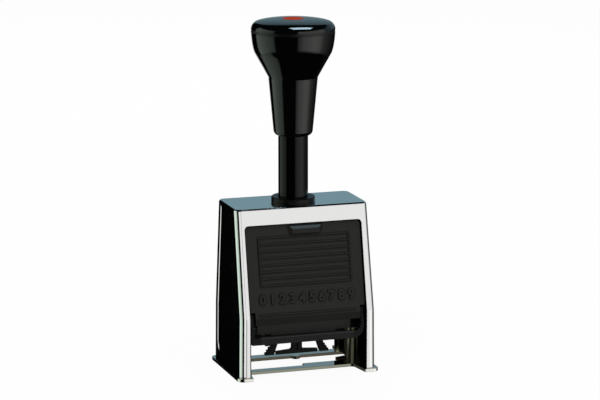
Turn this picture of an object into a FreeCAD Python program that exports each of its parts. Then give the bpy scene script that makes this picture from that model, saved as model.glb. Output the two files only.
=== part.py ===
import FreeCAD, Part
import math
import os

Vector = FreeCAD.Vector

# Lengths are in millimetres and angles in degrees.
# X runs across the machine, +Y towards its back and +Z up.
# The origin is the middle of the underside of the base plate.

# Clearances that all pieces share.
overrun = 4.0
running_clearance = 0.05
body_gap = 0.3

# Housing: a pressed shell, sloping in above a bend, open at its front, back and bottom.
housing_foot_width = 71.0
housing_side_taper = 1.6
housing_foot_depth = 47.6
housing_bend_height = 31.25
housing_height = 84.6
housing_front_slope = 11.1
housing_back_slope = 5.1
housing_wall = 1.5
housing_corner_radius = 3.3
housing_inner_radius = 0.8
housing_edge_radius = 1.1
opening_side_margin = 4.9
opening_top_rail = 8.1
opening_corner_radius = 2.0
panel_rise = 0.7
panel_slope_width = 4.0
panel_back_margin = 6.0
panel_front_margin = 6.4
panel_foot_margin = 4.6
panel_corner_radius = 6.0
upright_share = 0.5

# Base plate.
base_side_margin = 1.4
base_depth = 50.6
base_thickness = 1.5
base_corner_radius = 3.2
front_bar_front = 12.7
front_bar_left_depth = 4.7
front_bar_right_depth = 8.5
front_bar_step = 2.8
front_notch_margin = 7.3
front_notch_taper = 2.2
back_bar_front = 11.9
back_bar_depth = 6.6
back_notch_margin = 8.0
window_margin = 6.5
line_mark_radius = 2.2
line_mark_place = 4.5
pointer_reach = 7.6
pointer_half_width = 3.6
pointer_tip_half_width = 0.5

# Plunger: stroke, knob, tube and crosshead.
stroke = 20.9
paper_gap = 0.1
plunger_y = 1.85
tube_radius = 7.49
tube_bore_radius = 5.6
tube_plug_length = 34.0
rod_showing = 31.4
knob_height = 58.4
knob_radius = 21.03
knob_socket_depth = 27.6
knob_disc_radius = 5.2
knob_disc_thickness = 1.4
knob_disc_rise = 0.15
knob_screw_radius = 3.0
knob_screw_head_radius = 4.9
knob_screw_head_height = 3.6
knob_screw_depth = 12.0
crown_groove = 0.35
collar_radius = 11.02
collar_thickness = 2.5
collar_chamfer = 0.35
bush_radius = 9.4
bush_nut_thickness = 1.7
bush_nut_width = 23.0
bush_reach = 3.4
buffer_thickness = 1.2
crosshead_thickness = 3.5
crosshead_half_depth = 8.6
crosshead_rib_height = 3.0

# Number wheels and what stands on their shaft.
wheel_count = 6
figure_count = 10
wheel_radius = 11.5
wheel_drum_radius = 10.5
wheel_side_room = 8.9
wheel_gap = 0.2
figure_block_width = 4.4
ratchet_tip_radius = 9.2
ratchet_root_radius = 7.9
ratchet_thickness = 1.2
shaft_radius = 3.0
shaft_nut_radius = 4.0
shaft_nut_thickness = 1.6
spacer_radius = 4.4

# Carriage: two cheeks that hang from the crosshead and slide in the guides.
cheek_thickness = 1.2
cheek_half_depth = 8.4
cheek_foot_radius = 7.2
cheek_corner_radius = 6.5
slot_margin = 0.7
tie_rod_radius = 1.4
tie_rod_drop = 12.75
shoe_gap = 2.2
shoe_thickness = 3.9
shoe_upper_height = 7.0
shoe_lower_height = 13.0
shoe_boss_half_depth = 2.3
shoe_boss_back = 4.6
guide_gap = 0.4
guide_side_gap = 0.5
guide_room = 2.4
guide_thickness = 1.2
guide_foot_width = 2.6
guide_foot_thickness = 1.2
guide_height = 78.0
rivet_radius = 0.8
rivet_head_radius = 1.2
rivet_head_height = 0.7
rivet_spread = 6.0

# Bridge between the guides, with the post that the return spring stands round.
bridge_rise = 3.0
bridge_thickness = 3.0
bridge_half_depth = 4.5
bridge_lug_height = 7.0
bridge_lug_thickness = 1.5
post_radius = 2.6
post_stub_radius = 1.8
post_tip_clearance = 3.0
bridge_screw_radius = 1.2
bridge_screw_head_radius = 2.0
bridge_screw_head_height = 1.0
spring_wire_radius = 0.6
spring_mean_radius = 4.1
spring_turns = 5
spring_wire_sides = 4
spring_end_gap = 0.1
points_per_arc = 9

# Feed lever, its pawl and the fixed cam that turns it.
feed_angle = 40.0
follower_rest_angle = 20.0
follower_reach = 12.0
follower_radius = 1.6
lever_thickness = 1.2
lever_hub_radius = 5.0
lever_arm_half_width = 1.8
pawl_rest_angle = 34.0
pawl_reach = 15.6
pawl_pin_radius = 1.0
pawl_hub_radius = 2.0
pawl_finger_width = 0.7
pawl_finger_thickness = 1.5
pawl_swing_angle = 8.0
cam_thickness = 1.6
cam_gap = 1.4
cam_back_land = 2.6
cam_foot_length = 5.4
cam_points = 7
detent_bar_half_width = 1.3
detent_bar_angle = 158.0
detent_bar_reach = 15.2
detent_leaf_thickness = 0.5
detent_leaf_angle = 2.6

# Pivot shaft, shared by the pad carrier and the front cover.
pivot_height = 31.9
pivot_radius = 1.1
pivot_bush_radius = 2.4
pivot_bush_length = 2.2
hub_radius = 1.9

# Pad carrier: arms, front beam, cross wall, rails and the slotted cranks that turn it.
swing_angle = 65.0
arm_side_gap = 1.0
arm_thickness = 1.7
beam_thickness = 2.8
beam_height = 3.5
beam_left_radius = 1.0
beam_right_radius = 5.4
crank_side_gap = 0.4
carrier_crank_thickness = 1.2
crank_pin_radius = 1.5
crank_slack = 0.5
crank_lip = 1.3
crank_end_reach = 1.1
wall_thickness = 1.5
wall_set_back = 3.1
wall_bottom_gap = 0.5
wall_height = 5.4
rail_thickness = 1.7
rail_lip_width = 1.4
rail_lip_thickness = 0.6
rail_reach = 26.2
ink_gap = 0.3
felt_rise = 0.4
felt_depth = 2.2
felt_margin = 2.4
cartridge_height = 3.4
cartridge_front_gap = 1.2
cartridge_side_gap = 0.2

# Squeeze grip under the ink cartridge.
grip_thickness = 2.0
grip_centre_y = -3.4
grip_foot_height = 7.1
grip_leg_top = 12.4
grip_side_margin = 3.1
grip_leg_width = 4.6
grip_leg_lean = 3.7
grip_teeth = 4
grip_tooth_depth = 0.9
grip_stem_half_width = 2.7
grip_t_gap = 1.2
grip_t_foot_height = 1.6
grip_t_flare_height = 2.2
grip_t_fillet = 1.2
grip_groove_width = 0.9
grip_groove_depth = 0.5

# Front cover, hinged on the pivot shaft, and rear cover.
cover_recess = 1.2
cover_thickness = 1.2
cover_side_gap = 0.6
cover_arm_gap = 0.5
cover_foot_height = 27.5
cover_corner_radius = 1.4
cover_rim_depth = 2.4
cover_rim_thickness = 1.2
cover_rim_start = 2.4
cover_tab_middle = 1.1
cover_tab_half_width = 9.2
cover_tab_height = 3.7
cover_tab_drop = 0.7
cover_tab_reach = 2.2
cover_tab_bevel = 1.3
cover_ear_thickness = 1.6
cover_ear_radius = 2.6
rear_cover_lap = 2.0
rear_cover_thickness = 1.2
rear_cover_foot = 34.0

# Heights and places that follow from the sizes above.
housing_top_width = housing_foot_width - housing_side_taper
opening_half_width = housing_foot_width / 2 - opening_side_margin
base_width = housing_foot_width + 2 * base_side_margin
front_notch_mouth = base_width / 2 - front_notch_margin
front_notch_root = front_notch_mouth - front_notch_taper
back_notch_half_width = base_width / 2 - back_notch_margin
window_half_width = base_width / 2 - window_margin
wheel_axis_height = wheel_radius + stroke + paper_gap
housing_half_depth = housing_foot_depth / 2
opening_top = housing_height - opening_top_rail
collar_top = housing_height + collar_thickness
bush_bottom = housing_height - bush_reach
buffer_bottom = bush_bottom - body_gap - buffer_thickness
crosshead_bottom = buffer_bottom - crosshead_thickness
knob_bottom = collar_top + rod_showing
knob_seam_share = 0.849
bridge_bottom = wheel_axis_height + wheel_radius + bridge_rise
bridge_top = bridge_bottom + bridge_thickness
tube_top = knob_bottom + knob_socket_depth - running_clearance
tube_seat = tube_top - tube_plug_length
guide_outer = housing_foot_width / 2 - housing_wall - guide_side_gap - guide_foot_width
guide_web = guide_outer - guide_thickness
shoe_outer = guide_web - guide_gap
shoe_inner = shoe_outer - shoe_thickness
cheek_outer = shoe_inner - shoe_gap
cheek_inner = cheek_outer - cheek_thickness
wheel_pack_half = cheek_inner - wheel_side_room
wheel_pitch = (2 * wheel_pack_half + wheel_gap) / wheel_count
wheel_drum_width = wheel_pitch - wheel_gap - ratchet_thickness
guide_flange_inner = shoe_inner + guide_gap / 2
guide_half_depth = cheek_half_depth + guide_room
swing_reach = stroke / (2 * math.tan(math.radians(swing_angle / 2)))
crank_pin_height = pivot_height + stroke / 2
felt_top = wheel_axis_height - wheel_radius - ink_gap
cartridge_top = felt_top - felt_rise
cartridge_bottom = cartridge_top - cartridge_height
beam_top = felt_top + ink_gap
beam_bottom = beam_top - beam_height
carrier_crank_inner = cheek_outer + crank_side_gap
rail_inner = cheek_inner - crank_side_gap - rail_thickness
arm_outer = opening_half_width - arm_side_gap
cover_strip_half_width = arm_outer - arm_thickness - cover_arm_gap
cover_ear_inner = carrier_crank_inner - cover_arm_gap - cover_ear_thickness
grip_leg_foot = rail_inner - grip_side_margin
grip_t_half_width = grip_leg_foot - grip_leg_width - grip_t_gap


def front_face(height):
    """Y of the housing's front face at a height: upright to the bend, then leaning back."""
    share = max(0, height - housing_bend_height) / (housing_height - housing_bend_height)
    return -housing_half_depth + housing_front_slope * share


def back_face(height):
    """Y of the housing's back face at a height."""
    share = max(0, height - housing_bend_height) / (housing_height - housing_bend_height)
    return housing_half_depth - housing_back_slope * share


def side_face(height):
    """X of the housing's right side at a height: it tapers from foot to top."""
    share = (height - base_thickness) / (housing_height - base_thickness)
    return (housing_foot_width + (housing_top_width - housing_foot_width) * share) / 2


def cover_outside(height):
    return front_face(height) + cover_recess


def cover_inside(height):
    return cover_outside(height) + cover_thickness


pivot_y = cover_inside(pivot_height) + hub_radius + body_gap
crank_pin_y = pivot_y + swing_reach
beam_front = cover_outside(pivot_height) + body_gap / 2
beam_back = beam_front + beam_thickness
cover_cut_height = pivot_height + hub_radius + body_gap
wall_front = pivot_y + wall_set_back
wall_bottom = felt_top + wall_bottom_gap
rail_back = pivot_y + rail_reach


def block(x, y, z):
    """Box between a pair of limits along each axis."""
    corner = Vector(x[0], y[0], z[0])
    return Part.makeBox(x[1] - x[0], y[1] - y[0], z[1] - z[0], corner)


def rod_x(radius, x, y, z):
    """Cylinder along X between a pair of limits."""
    return Part.makeCylinder(radius, x[1] - x[0], Vector(x[0], y, z), Vector(1, 0, 0))


def rod_z(radius, x, y, z):
    """Cylinder along Z between a pair of limits."""
    return Part.makeCylinder(radius, z[1] - z[0], Vector(x, y, z[0]), Vector(0, 0, 1))


def corner_arc(before, corner, after, radius):
    """Arc that rounds one corner, with the two points where it starts and ends."""
    back = (before - corner).normalize()
    ahead = (after - corner).normalize()
    half = back.getAngle(ahead) / 2
    start = corner + back * (radius / math.tan(half))
    end = corner + ahead * (radius / math.tan(half))
    middle_way = (back + ahead).normalize()
    centre = corner + middle_way * (radius / math.sin(half))
    return start, centre - middle_way * radius, end


def rounded_face(corners):
    """Flat face from corners, each a point and the radius that rounds it."""
    points = [point for point, radius in corners]
    edges = []
    stops = []
    for index, (point, radius) in enumerate(corners):
        if radius > 0:
            after = points[(index + 1) % len(points)]
            start, middle, end = corner_arc(points[index - 1], point, after, radius)
            edges.append(Part.Arc(start, middle, end).toShape())
            stops.append((start, end))
        else:
            stops.append((point, point))
    for index, (start, end) in enumerate(stops):
        following = stops[(index + 1) % len(stops)][0]
        if (following - end).Length > running_clearance / 100:
            edges.append(Part.LineSegment(end, following).toShape())
    return Part.Face(Part.Wire(Part.__sortEdges__(edges)))


def plate_x(corners, x):
    """Plate square to X from (y, z, radius) corners."""
    face = rounded_face([(Vector(x[0], y, z), radius) for y, z, radius in corners])
    return face.extrude(Vector(x[1] - x[0], 0, 0))


def plate_y(corners, y):
    """Plate square to Y from (x, z, radius) corners."""
    face = rounded_face([(Vector(x, y[0], z), radius) for x, z, radius in corners])
    return face.extrude(Vector(0, y[1] - y[0], 0))


def plate_z(corners, z):
    """Plate square to Z from (x, y, radius) corners."""
    face = rounded_face([(Vector(x, y, z[0]), radius) for x, y, radius in corners])
    return face.extrude(Vector(0, 0, z[1] - z[0]))


def turned(points):
    """Solid turned about the plunger's axis from (radius, height) points."""
    places = [Vector(radius, plunger_y, height) for radius, height in points]
    face = Part.Face(Part.makePolygon(places + places[:1]))
    return face.revolve(Vector(0, plunger_y, 0), Vector(0, 0, 1), 360)


def mirrored(shape):
    """The same piece on the other side of the middle plane."""
    return shape.mirror(Vector(0, 0, 0), Vector(1, 0, 0))


def hexagon(reach, first, second):
    """Corners of a hexagonal nut or head about its middle, for a plate along any axis."""
    turns = [math.radians(60 * index) for index in range(6)]
    return [(first + reach * math.cos(turn), second + reach * math.sin(turn), 0)
            for turn in turns]


def polar(angle, reach):
    """Y and Z of a point round the wheel shaft: 0 degrees is backwards, 90 up."""
    turn = math.radians(angle)
    return plunger_y + reach * math.cos(turn), wheel_axis_height + reach * math.sin(turn)


def save(name, shape):
    shape.exportStep("parts/" + name + ".step")


def housing_block(foot, top, inset, radius):
    """Solid of the housing's form between two heights, with its upright edges rounded."""
    reach = housing_half_depth + overrun
    wide = side_face(base_thickness) + overrun
    heights = [foot, housing_bend_height, top]
    front_side = [(front_face(height) + inset, height, 0) for height in heights]
    back_side = [(back_face(height) - inset, height, 0) for height in reversed(heights)]
    from_side = plate_x(front_side + back_side, (-wide, wide))
    half_foot = side_face(foot) - inset
    half_top = side_face(top) - inset
    from_front = plate_y([(-half_foot, foot, 0), (half_foot, foot, 0),
                          (half_top, top, 0), (-half_top, top, 0)], (-reach, reach))
    form = from_side.common(from_front)
    upright = [edge for edge in form.Edges
               if abs(edge.tangentAt(edge.FirstParameter).z) > upright_share]
    return form.makeFillet(radius, upright)


def panel_outline(inset):
    """Outline of the right side's raised panel in the middle plane, drawn in by an inset."""
    foot = base_thickness + panel_foot_margin + inset
    top_margin = housing_edge_radius + panel_rise * (1 + inset / panel_slope_width)
    top = housing_height - top_margin
    bend = housing_bend_height
    front = panel_front_margin + inset
    back = panel_back_margin + inset
    radius = panel_corner_radius - inset
    corners = [(front_face(foot) + front, foot, radius), (back_face(foot) - back, foot, radius),
               (back_face(bend) - back, bend, 0), (back_face(top) - back, top, 0),
               (front_face(top) + front, top, 0), (front_face(bend) + front, bend, 0)]
    return rounded_face([(Vector(0, y, z), radius) for y, z, radius in corners]).OuterWire


def side_panel():
    """Panel pressed outwards in the right wall, with a sloping border that starts in the wall."""
    lean = math.atan2(side_face(base_thickness) - side_face(housing_height),
                      housing_height - base_thickness)
    sink = housing_wall / 2
    sections = []
    for rise, inset in ((-sink, -panel_slope_width * sink / panel_rise),
                        (panel_rise, panel_slope_width)):
        wire = panel_outline(inset)
        wire.rotate(Vector(0, 0, base_thickness), Vector(0, 1, 0), -math.degrees(lean))
        wire.translate(Vector(side_face(base_thickness) + rise, 0, 0))
        sections.append(wire)
    return Part.makeLoft(sections, True, True)


def opening_outline(half_width, foot, top, radius):
    """Corners of the tall opening, rounded at its top."""
    return [(-half_width, foot, 0), (half_width, foot, 0),
            (half_width, top, radius), (-half_width, top, radius)]


def make_housing():
    skin = housing_block(base_thickness, housing_height, 0, housing_corner_radius)
    skin = skin.makeFillet(housing_edge_radius, [
        edge for edge in skin.Edges
        if abs(edge.CenterOfMass.z - housing_height) < running_clearance])
    panel = side_panel()
    skin = skin.fuse([panel, mirrored(panel)])
    room = housing_block(
        base_thickness, housing_height - housing_wall, housing_wall, housing_inner_radius)
    shell = skin.cut(room)
    reach = housing_half_depth + overrun
    corners = opening_outline(
        opening_half_width, base_thickness - overrun, opening_top, opening_corner_radius)
    shell = shell.cut(plate_y(corners, (-reach, reach)))
    bush_hole = rod_z(
        bush_radius + running_clearance, 0, plunger_y, (opening_top, collar_top))
    return shell.cut(bush_hole).removeSplitter()


def make_base_plate():
    half = base_width / 2
    deep = base_depth / 2
    span = (0, base_thickness)
    cut = (-overrun, base_thickness + overrun)
    plate = plate_z([(-half, -deep, base_corner_radius), (half, -deep, base_corner_radius),
                     (half, deep, base_corner_radius), (-half, deep, base_corner_radius)], span)
    mouth = front_notch_mouth + (front_notch_mouth - front_notch_root) * overrun / deep
    notch = plate_z([(-mouth, -deep - overrun, 0), (mouth, -deep - overrun, 0),
                     (front_notch_root, -front_bar_front, opening_corner_radius),
                     (-front_notch_root, -front_bar_front, opening_corner_radius)], cut)
    left_edge = -front_bar_front + front_bar_left_depth
    right_edge = -front_bar_front + front_bar_right_depth
    back_edge = back_bar_front
    window = plate_z([(-window_half_width, left_edge, pointer_tip_half_width),
                      (front_bar_step, left_edge, pointer_tip_half_width),
                      (front_bar_step, right_edge, pointer_tip_half_width),
                      (window_half_width, right_edge, pointer_tip_half_width),
                      (window_half_width, back_edge, pointer_tip_half_width),
                      (-window_half_width, back_edge, pointer_tip_half_width)], cut)
    back_notch = plate_z([
        (-back_notch_half_width, back_bar_front + back_bar_depth, opening_corner_radius),
        (back_notch_half_width, back_bar_front + back_bar_depth, opening_corner_radius),
        (back_notch_half_width, deep + overrun, 0),
        (-back_notch_half_width, deep + overrun, 0)], cut)
    plate = plate.cut(notch).cut(window).cut(back_notch)
    mark = rod_z(line_mark_radius, line_mark_place, back_bar_front, span)
    root = window_half_width + base_corner_radius / 2
    tip = window_half_width - pointer_reach
    pointer = plate_z([(root, plunger_y - pointer_half_width, 0),
                       (root, plunger_y + pointer_half_width, 0),
                       (tip, plunger_y + pointer_tip_half_width, 0),
                       (tip, plunger_y - pointer_tip_half_width, 0)], span)
    plate = plate.fuse([mark, pointer, mirrored(pointer)]).removeSplitter()
    return plate.cut(rivet_group(running_clearance, rivet_radius, -overrun, overrun))


def rivet_group(extra, radius, foot, top):
    """One upright rod at each of the guides' rivets."""
    x = guide_outer + guide_foot_width / 2
    rods = []
    for side in (-1, 1):
        for way in (-1, 1):
            place = plunger_y + way * rivet_spread
            rods.append(rod_z(radius + extra, side * x, place, (foot, top)))
    return Part.makeCompound(rods)


def make_base_rivets():
    foot = base_thickness + guide_foot_thickness
    shanks = rivet_group(0, rivet_radius, running_clearance, foot)
    heads = rivet_group(0, rivet_head_radius, foot, foot + rivet_head_height)
    pairs = zip(shanks.Solids, heads.Solids)
    return Part.makeCompound([shank.fuse(head) for shank, head in pairs])


def make_guide():
    """Upright channel on the right: its open side faces the carriage."""
    front = plunger_y - guide_half_depth
    back = plunger_y + guide_half_depth
    foot = base_thickness
    span = (foot, guide_height)
    channel = block((guide_flange_inner, guide_outer), (front, back), span)
    room = (front + guide_thickness, back - guide_thickness)
    channel = channel.cut(block((guide_flange_inner - overrun, guide_web), room,
                                (foot - overrun, guide_height + overrun)))
    flange = block((guide_outer, guide_outer + guide_foot_width), (front, back),
                   (foot, foot + guide_foot_thickness))
    holes = [rivet_group(running_clearance, rivet_radius, foot - overrun, foot + overrun),
             bridge_screws(running_clearance, 0)]
    return channel.fuse(flange).removeSplitter().cut(holes)


def make_collar():
    """Bush with a round collar that guides the tube through the housing's top."""
    bore = tube_radius + running_clearance
    return turned([
        (bore, bush_bottom), (bush_radius, bush_bottom), (bush_radius, housing_height),
        (collar_radius, housing_height), (collar_radius, collar_top - collar_chamfer),
        (collar_radius - collar_chamfer, collar_top), (bore, collar_top)])


def make_bush_nut():
    top = housing_height - housing_wall
    corners = hexagon(bush_nut_width / math.sqrt(3), 0, plunger_y)
    nut = plate_z(corners, (top - bush_nut_thickness, top))
    return nut.cut(rod_z(bush_radius + running_clearance, 0, plunger_y, (bush_bottom, top)))


def make_bridge():
    """Bar between the two guides, turned down at its ends."""
    depth = (plunger_y - bridge_half_depth, plunger_y + bridge_half_depth)
    bar = block((-guide_web, guide_web), depth, (bridge_bottom, bridge_top))
    for end in (-guide_web, guide_web - bridge_lug_thickness):
        lug = block((end, end + bridge_lug_thickness), depth,
                    (bridge_top - bridge_lug_height, bridge_bottom))
        bar = bar.fuse(lug)
    bar = bar.cut(rod_z(post_stub_radius + running_clearance, 0, plunger_y,
                        (bridge_bottom - overrun, bridge_top + overrun)))
    return bar.removeSplitter().cut(bridge_screws(running_clearance, 0))


def bridge_screws(extra, head):
    """Screws through the bridge's lugs into the guides' webs, two on each side."""
    height = bridge_bottom - (bridge_lug_height - bridge_thickness) / 2
    inner = guide_web - bridge_lug_thickness
    screws = []
    for way in (-1, 1):
        place = plunger_y + way * bridge_half_depth / 2
        shank = rod_x(bridge_screw_radius + extra, (inner, guide_outer), place, height)
        if head:
            corners = hexagon(bridge_screw_head_radius, place, height)
            shank = shank.fuse(plate_x(corners, (inner - head, inner)))
        screws += [shank, mirrored(shank)]
    return Part.makeCompound(screws)


def make_spring_post():
    top = tube_seat - stroke - post_tip_clearance
    stub = rod_z(post_stub_radius, 0, plunger_y, (bridge_bottom, bridge_top))
    return stub.fuse(rod_z(post_radius, 0, plunger_y, (bridge_top, top)))


def arc_between(start, heading, end):
    """Arc that leaves one point along a heading and ends at another."""
    chord = end - start
    way = Vector(chord).normalize()
    rise = heading - way * heading.dot(way)
    half = heading.getAngle(way)
    lift = rise.normalize() * (chord.Length / 2 * math.tan(half / 2))
    return Part.Arc(start, start + chord / 2 + lift, end).toShape()


def helix_edges(radius, foot, height, turns):
    """Helix about the plunger's axis as pairs of tangent arcs, one pair per half turn."""
    steps = turns * 2
    climb = height / (turns * 2 * math.pi)
    slant = math.hypot(radius, climb)
    places = []
    for step in range(steps + 1):
        turn = math.pi * step
        place = Vector(radius * math.cos(turn), plunger_y + radius * math.sin(turn),
                       foot + climb * turn)
        heading = Vector(-radius * math.sin(turn), radius * math.cos(turn), climb) / slant
        places.append((place, heading))
    edges = []
    for (start, leave), (end, arrive) in zip(places, places[1:]):
        span = end - start
        both = leave + arrive
        spare = 2 * (1 - leave.dot(arrive))
        reach = (math.sqrt(span.dot(both) ** 2 + spare * span.dot(span)) - span.dot(both)) / spare
        middle = (start + leave * reach + end - arrive * reach) / 2
        turn_way = (end - arrive * reach - start - leave * reach).normalize()
        edges.append(arc_between(start, leave, middle))
        edges.append(arc_between(middle, turn_way, end))
    return edges


def least_self_gap(edges, wire_radius, turns):
    """Least gap between the wire of one turn and the wire of the next."""
    points = []
    for edge in edges:
        points += edge.discretize(points_per_arc)[:-1]
    lap = len(points) // turns
    near = min((a - b).Length for index, a in enumerate(points)
               for b in points[index + lap // 2:index + 2 * lap])
    return near - 2 * wire_radius


def make_return_spring():
    foot = bridge_top + spring_wire_radius + spring_end_gap
    top = tube_seat - spring_wire_radius - spring_end_gap
    edges = helix_edges(spring_mean_radius, foot, top - foot, spring_turns)
    gap = least_self_gap(edges, spring_wire_radius, spring_turns)
    print("return spring: least gap to itself %.2f mm" % gap)
    path = Part.Wire(edges)
    heading = edges[0].tangentAt(edges[0].FirstParameter)
    start = edges[0].valueAt(edges[0].FirstParameter)
    out = Vector(1, 0, 0) * spring_wire_radius
    turns = [360 / spring_wire_sides * index for index in range(spring_wire_sides + 1)]
    corners = [start + FreeCAD.Rotation(heading, turn).multVec(out) for turn in turns]
    return path.makePipeShell([Part.makePolygon(corners)], True, False)


def make_pivot_shaft():
    reach = side_face(pivot_height) - housing_wall - running_clearance
    return rod_x(pivot_radius, (-reach, reach), pivot_y, pivot_height)


def make_pivot_bushes():
    """Flanged bushes on the inside of both side walls, where the pivot shaft ends."""
    wall = side_face(pivot_height + pivot_bush_radius) - housing_wall - running_clearance / 2
    bush = rod_x(pivot_bush_radius, (wall - pivot_bush_length, wall), pivot_y, pivot_height)
    bush = bush.cut(rod_x(pivot_radius + running_clearance, (wall - overrun, wall + overrun),
                          pivot_y, pivot_height))
    return Part.makeCompound([bush, mirrored(bush)])


def make_rear_cover():
    """Sheet against the inside of the back wall, across the back opening."""
    half = opening_half_width + rear_cover_lap
    top = opening_top + rear_cover_lap
    outer = housing_wall + running_clearance
    inner = outer + rear_cover_thickness
    sheet = plate_x([(back_face(rear_cover_foot) - inner, rear_cover_foot, 0),
                     (back_face(rear_cover_foot) - outer, rear_cover_foot, 0),
                     (back_face(top) - outer, top, 0),
                     (back_face(top) - inner, top, 0)], (-half, half))
    corners = [(-half, rear_cover_foot, 0), (half, rear_cover_foot, 0),
               (half, top, opening_corner_radius), (-half, top, opening_corner_radius)]
    return sheet.common(plate_y(corners, (0, housing_half_depth)))


def follower_place(share):
    """Y and Z of the feed follower once the plunger has made a share of its stroke."""
    y, z = polar(follower_rest_angle + feed_angle * share, follower_reach)
    return y, z - stroke * share


def make_feed_cam():
    """Plate that hangs from the bridge: its front edge turns the feed lever."""
    inner = wheel_pack_half + body_gap + lever_thickness + cam_gap
    span = (inner, inner + cam_thickness)
    offset = follower_radius + body_gap
    edge = []
    for index in range(cam_points):
        share = index / (cam_points - 1)
        y, z = follower_place(share)
        next_y, next_z = follower_place(share + 1 / cam_points)
        length = math.hypot(next_y - y, next_z - z)
        edge.append(Vector(span[0], y - (next_z - z) / length * offset,
                           z + (next_y - y) / length * offset))
    curve = Part.BSplineCurve()
    curve.interpolate(edge)
    back = max(point.y for point in edge) + cam_back_land
    front = plunger_y + bridge_half_depth - cam_foot_length
    foot = bridge_top + guide_foot_thickness
    corners = [edge[-1], Vector(span[0], back, edge[-1].z), Vector(span[0], back, foot),
               Vector(span[0], front, foot), Vector(span[0], front, bridge_top),
               Vector(span[0], plunger_y + bridge_half_depth + body_gap, bridge_top),
               Vector(span[0], plunger_y + bridge_half_depth + body_gap, bridge_bottom),
               Vector(span[0], edge[0].y, bridge_bottom), edge[0]]
    wire = Part.Wire([curve.toShape(), *Part.makePolygon(corners).Edges])
    plate = Part.Face(wire).extrude(Vector(cam_thickness, 0, 0))
    flange = block((span[0], span[0] + cam_foot_length),
                   (front, plunger_y + bridge_half_depth), (bridge_top, foot))
    hole = cam_screw(running_clearance, 0)
    return plate.fuse(flange).removeSplitter().cut(hole)


def cam_screw(extra, head):
    """Screw that holds the cam's foot down on the bridge."""
    x = (wheel_pack_half + body_gap + lever_thickness + cam_gap + cam_thickness
         + bridge_screw_head_radius)
    y = plunger_y + bridge_half_depth - cam_foot_length / 2
    top = bridge_top + guide_foot_thickness
    screw = rod_z(bridge_screw_radius + extra, x, y, (bridge_top, top))
    if head:
        screw = screw.fuse(plate_z(hexagon(bridge_screw_head_radius, x, y), (top, top + head)))
    return screw


def cover_profile(outside, inside, foot, top):
    """(y, z) corners of a sheet that follows the housing's front between two depths."""
    bend = housing_bend_height
    return [(outside(foot), foot, 0), (outside(bend), bend, 0), (outside(top), top, 0),
            (inside(top), top, 0), (inside(bend), bend, 0), (inside(foot), foot, 0)]


def cover_outline(inset, foot):
    """(x, z) corners of the front cover, with its lower corners cut for the arms."""
    wide = opening_half_width - cover_side_gap - inset
    strip = cover_strip_half_width - inset
    top = opening_top - cover_side_gap - inset
    cut = max(foot, cover_cut_height)
    return [(-strip, foot, 0), (strip, foot, 0), (strip, cut, 0), (wide, cut, 0),
            (wide, top, cover_corner_radius), (-wide, top, cover_corner_radius),
            (-wide, cut, 0), (-strip, cut, 0)]


def finger_tab(top):
    """Ledge that a finger lifts the cover by, bevelled at its top and both ends."""
    foot = top - cover_tab_height
    front = cover_outside(top) - cover_tab_reach
    root = cover_outside(top) + cover_thickness / 2
    left = cover_tab_middle - cover_tab_half_width
    right = cover_tab_middle + cover_tab_half_width
    ledge = plate_x([(root, foot, 0), (front, foot, 0), (front, top - cover_tab_bevel, 0),
                     (front + cover_tab_bevel, top, 0), (root, top, 0)], (left, right))
    face = cover_outside(top)
    plan = plate_z([(left, root, 0), (left, face, 0), (left + cover_tab_reach, front, 0),
                    (right - cover_tab_reach, front, 0), (right, face, 0), (right, root, 0)],
                   (foot, top))
    return ledge.common(plan)


def make_front_cover():
    top = opening_top
    slab = plate_x(cover_profile(cover_outside, cover_inside, cover_foot_height, top),
                   (-opening_half_width, opening_half_width))
    reach = (-housing_half_depth, housing_half_depth)
    cover = slab.common(plate_y(cover_outline(0, cover_foot_height), reach))
    rim_foot = cover_cut_height + cover_rim_start

    def rim_inside(height):
        return cover_inside(height) + cover_rim_depth

    wide = opening_half_width - cover_side_gap
    rim_top = opening_top - cover_side_gap
    outer = [(-wide, rim_foot, 0), (wide, rim_foot, 0),
             (wide, rim_top, cover_corner_radius), (-wide, rim_top, cover_corner_radius)]
    inner = [(-wide + cover_rim_thickness, rim_foot - overrun, 0),
             (wide - cover_rim_thickness, rim_foot - overrun, 0),
             (wide - cover_rim_thickness, rim_top - cover_rim_thickness, 0),
             (-wide + cover_rim_thickness, rim_top - cover_rim_thickness, 0)]
    frame = plate_y(outer, reach).cut(plate_y(inner, reach))
    deep = plate_x(cover_profile(cover_inside, rim_inside, cover_foot_height, top),
                   (-opening_half_width, opening_half_width))
    cover = cover.fuse(frame.common(deep))
    cover = cover.fuse(finger_tab(rim_top - cover_tab_drop))
    for start in (cover_ear_inner, -cover_ear_inner - cover_ear_thickness):
        span = (start, start + cover_ear_thickness)
        ear = rod_x(cover_ear_radius, span, pivot_y, pivot_height)
        root = cover_inside(pivot_height) - cover_thickness / 2
        web = block(span, (root, pivot_y),
                    (pivot_height - cover_ear_radius, pivot_height + cover_ear_radius))
        cover = cover.fuse([ear, web])
    bore = rod_x(pivot_radius + running_clearance, (-opening_half_width, opening_half_width),
                 pivot_y, pivot_height)
    return cover.cut(bore).removeSplitter()


def crank_outline():
    """(y, z) corners of a crank plate: pivot end and fork."""
    lean = math.radians(swing_angle / 2)
    half = crank_pin_radius + crank_slack + body_gap + crank_lip
    tip = swing_reach / math.cos(lean) + crank_end_reach

    def along(reach, side):
        return (pivot_y + reach * math.cos(lean) - side * math.sin(lean),
                pivot_height + reach * math.sin(lean) + side * math.cos(lean))

    throat = swing_reach - crank_pin_radius - body_gap - 2 * crank_lip
    return [(*along(0, hub_radius), 0), (*along(throat, half), crank_lip),
            (*along(tip, half), crank_lip / 2), (*along(tip, -half), crank_lip / 2),
            (*along(throat, -half), crank_lip), (*along(0, -hub_radius), 0)]


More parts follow.
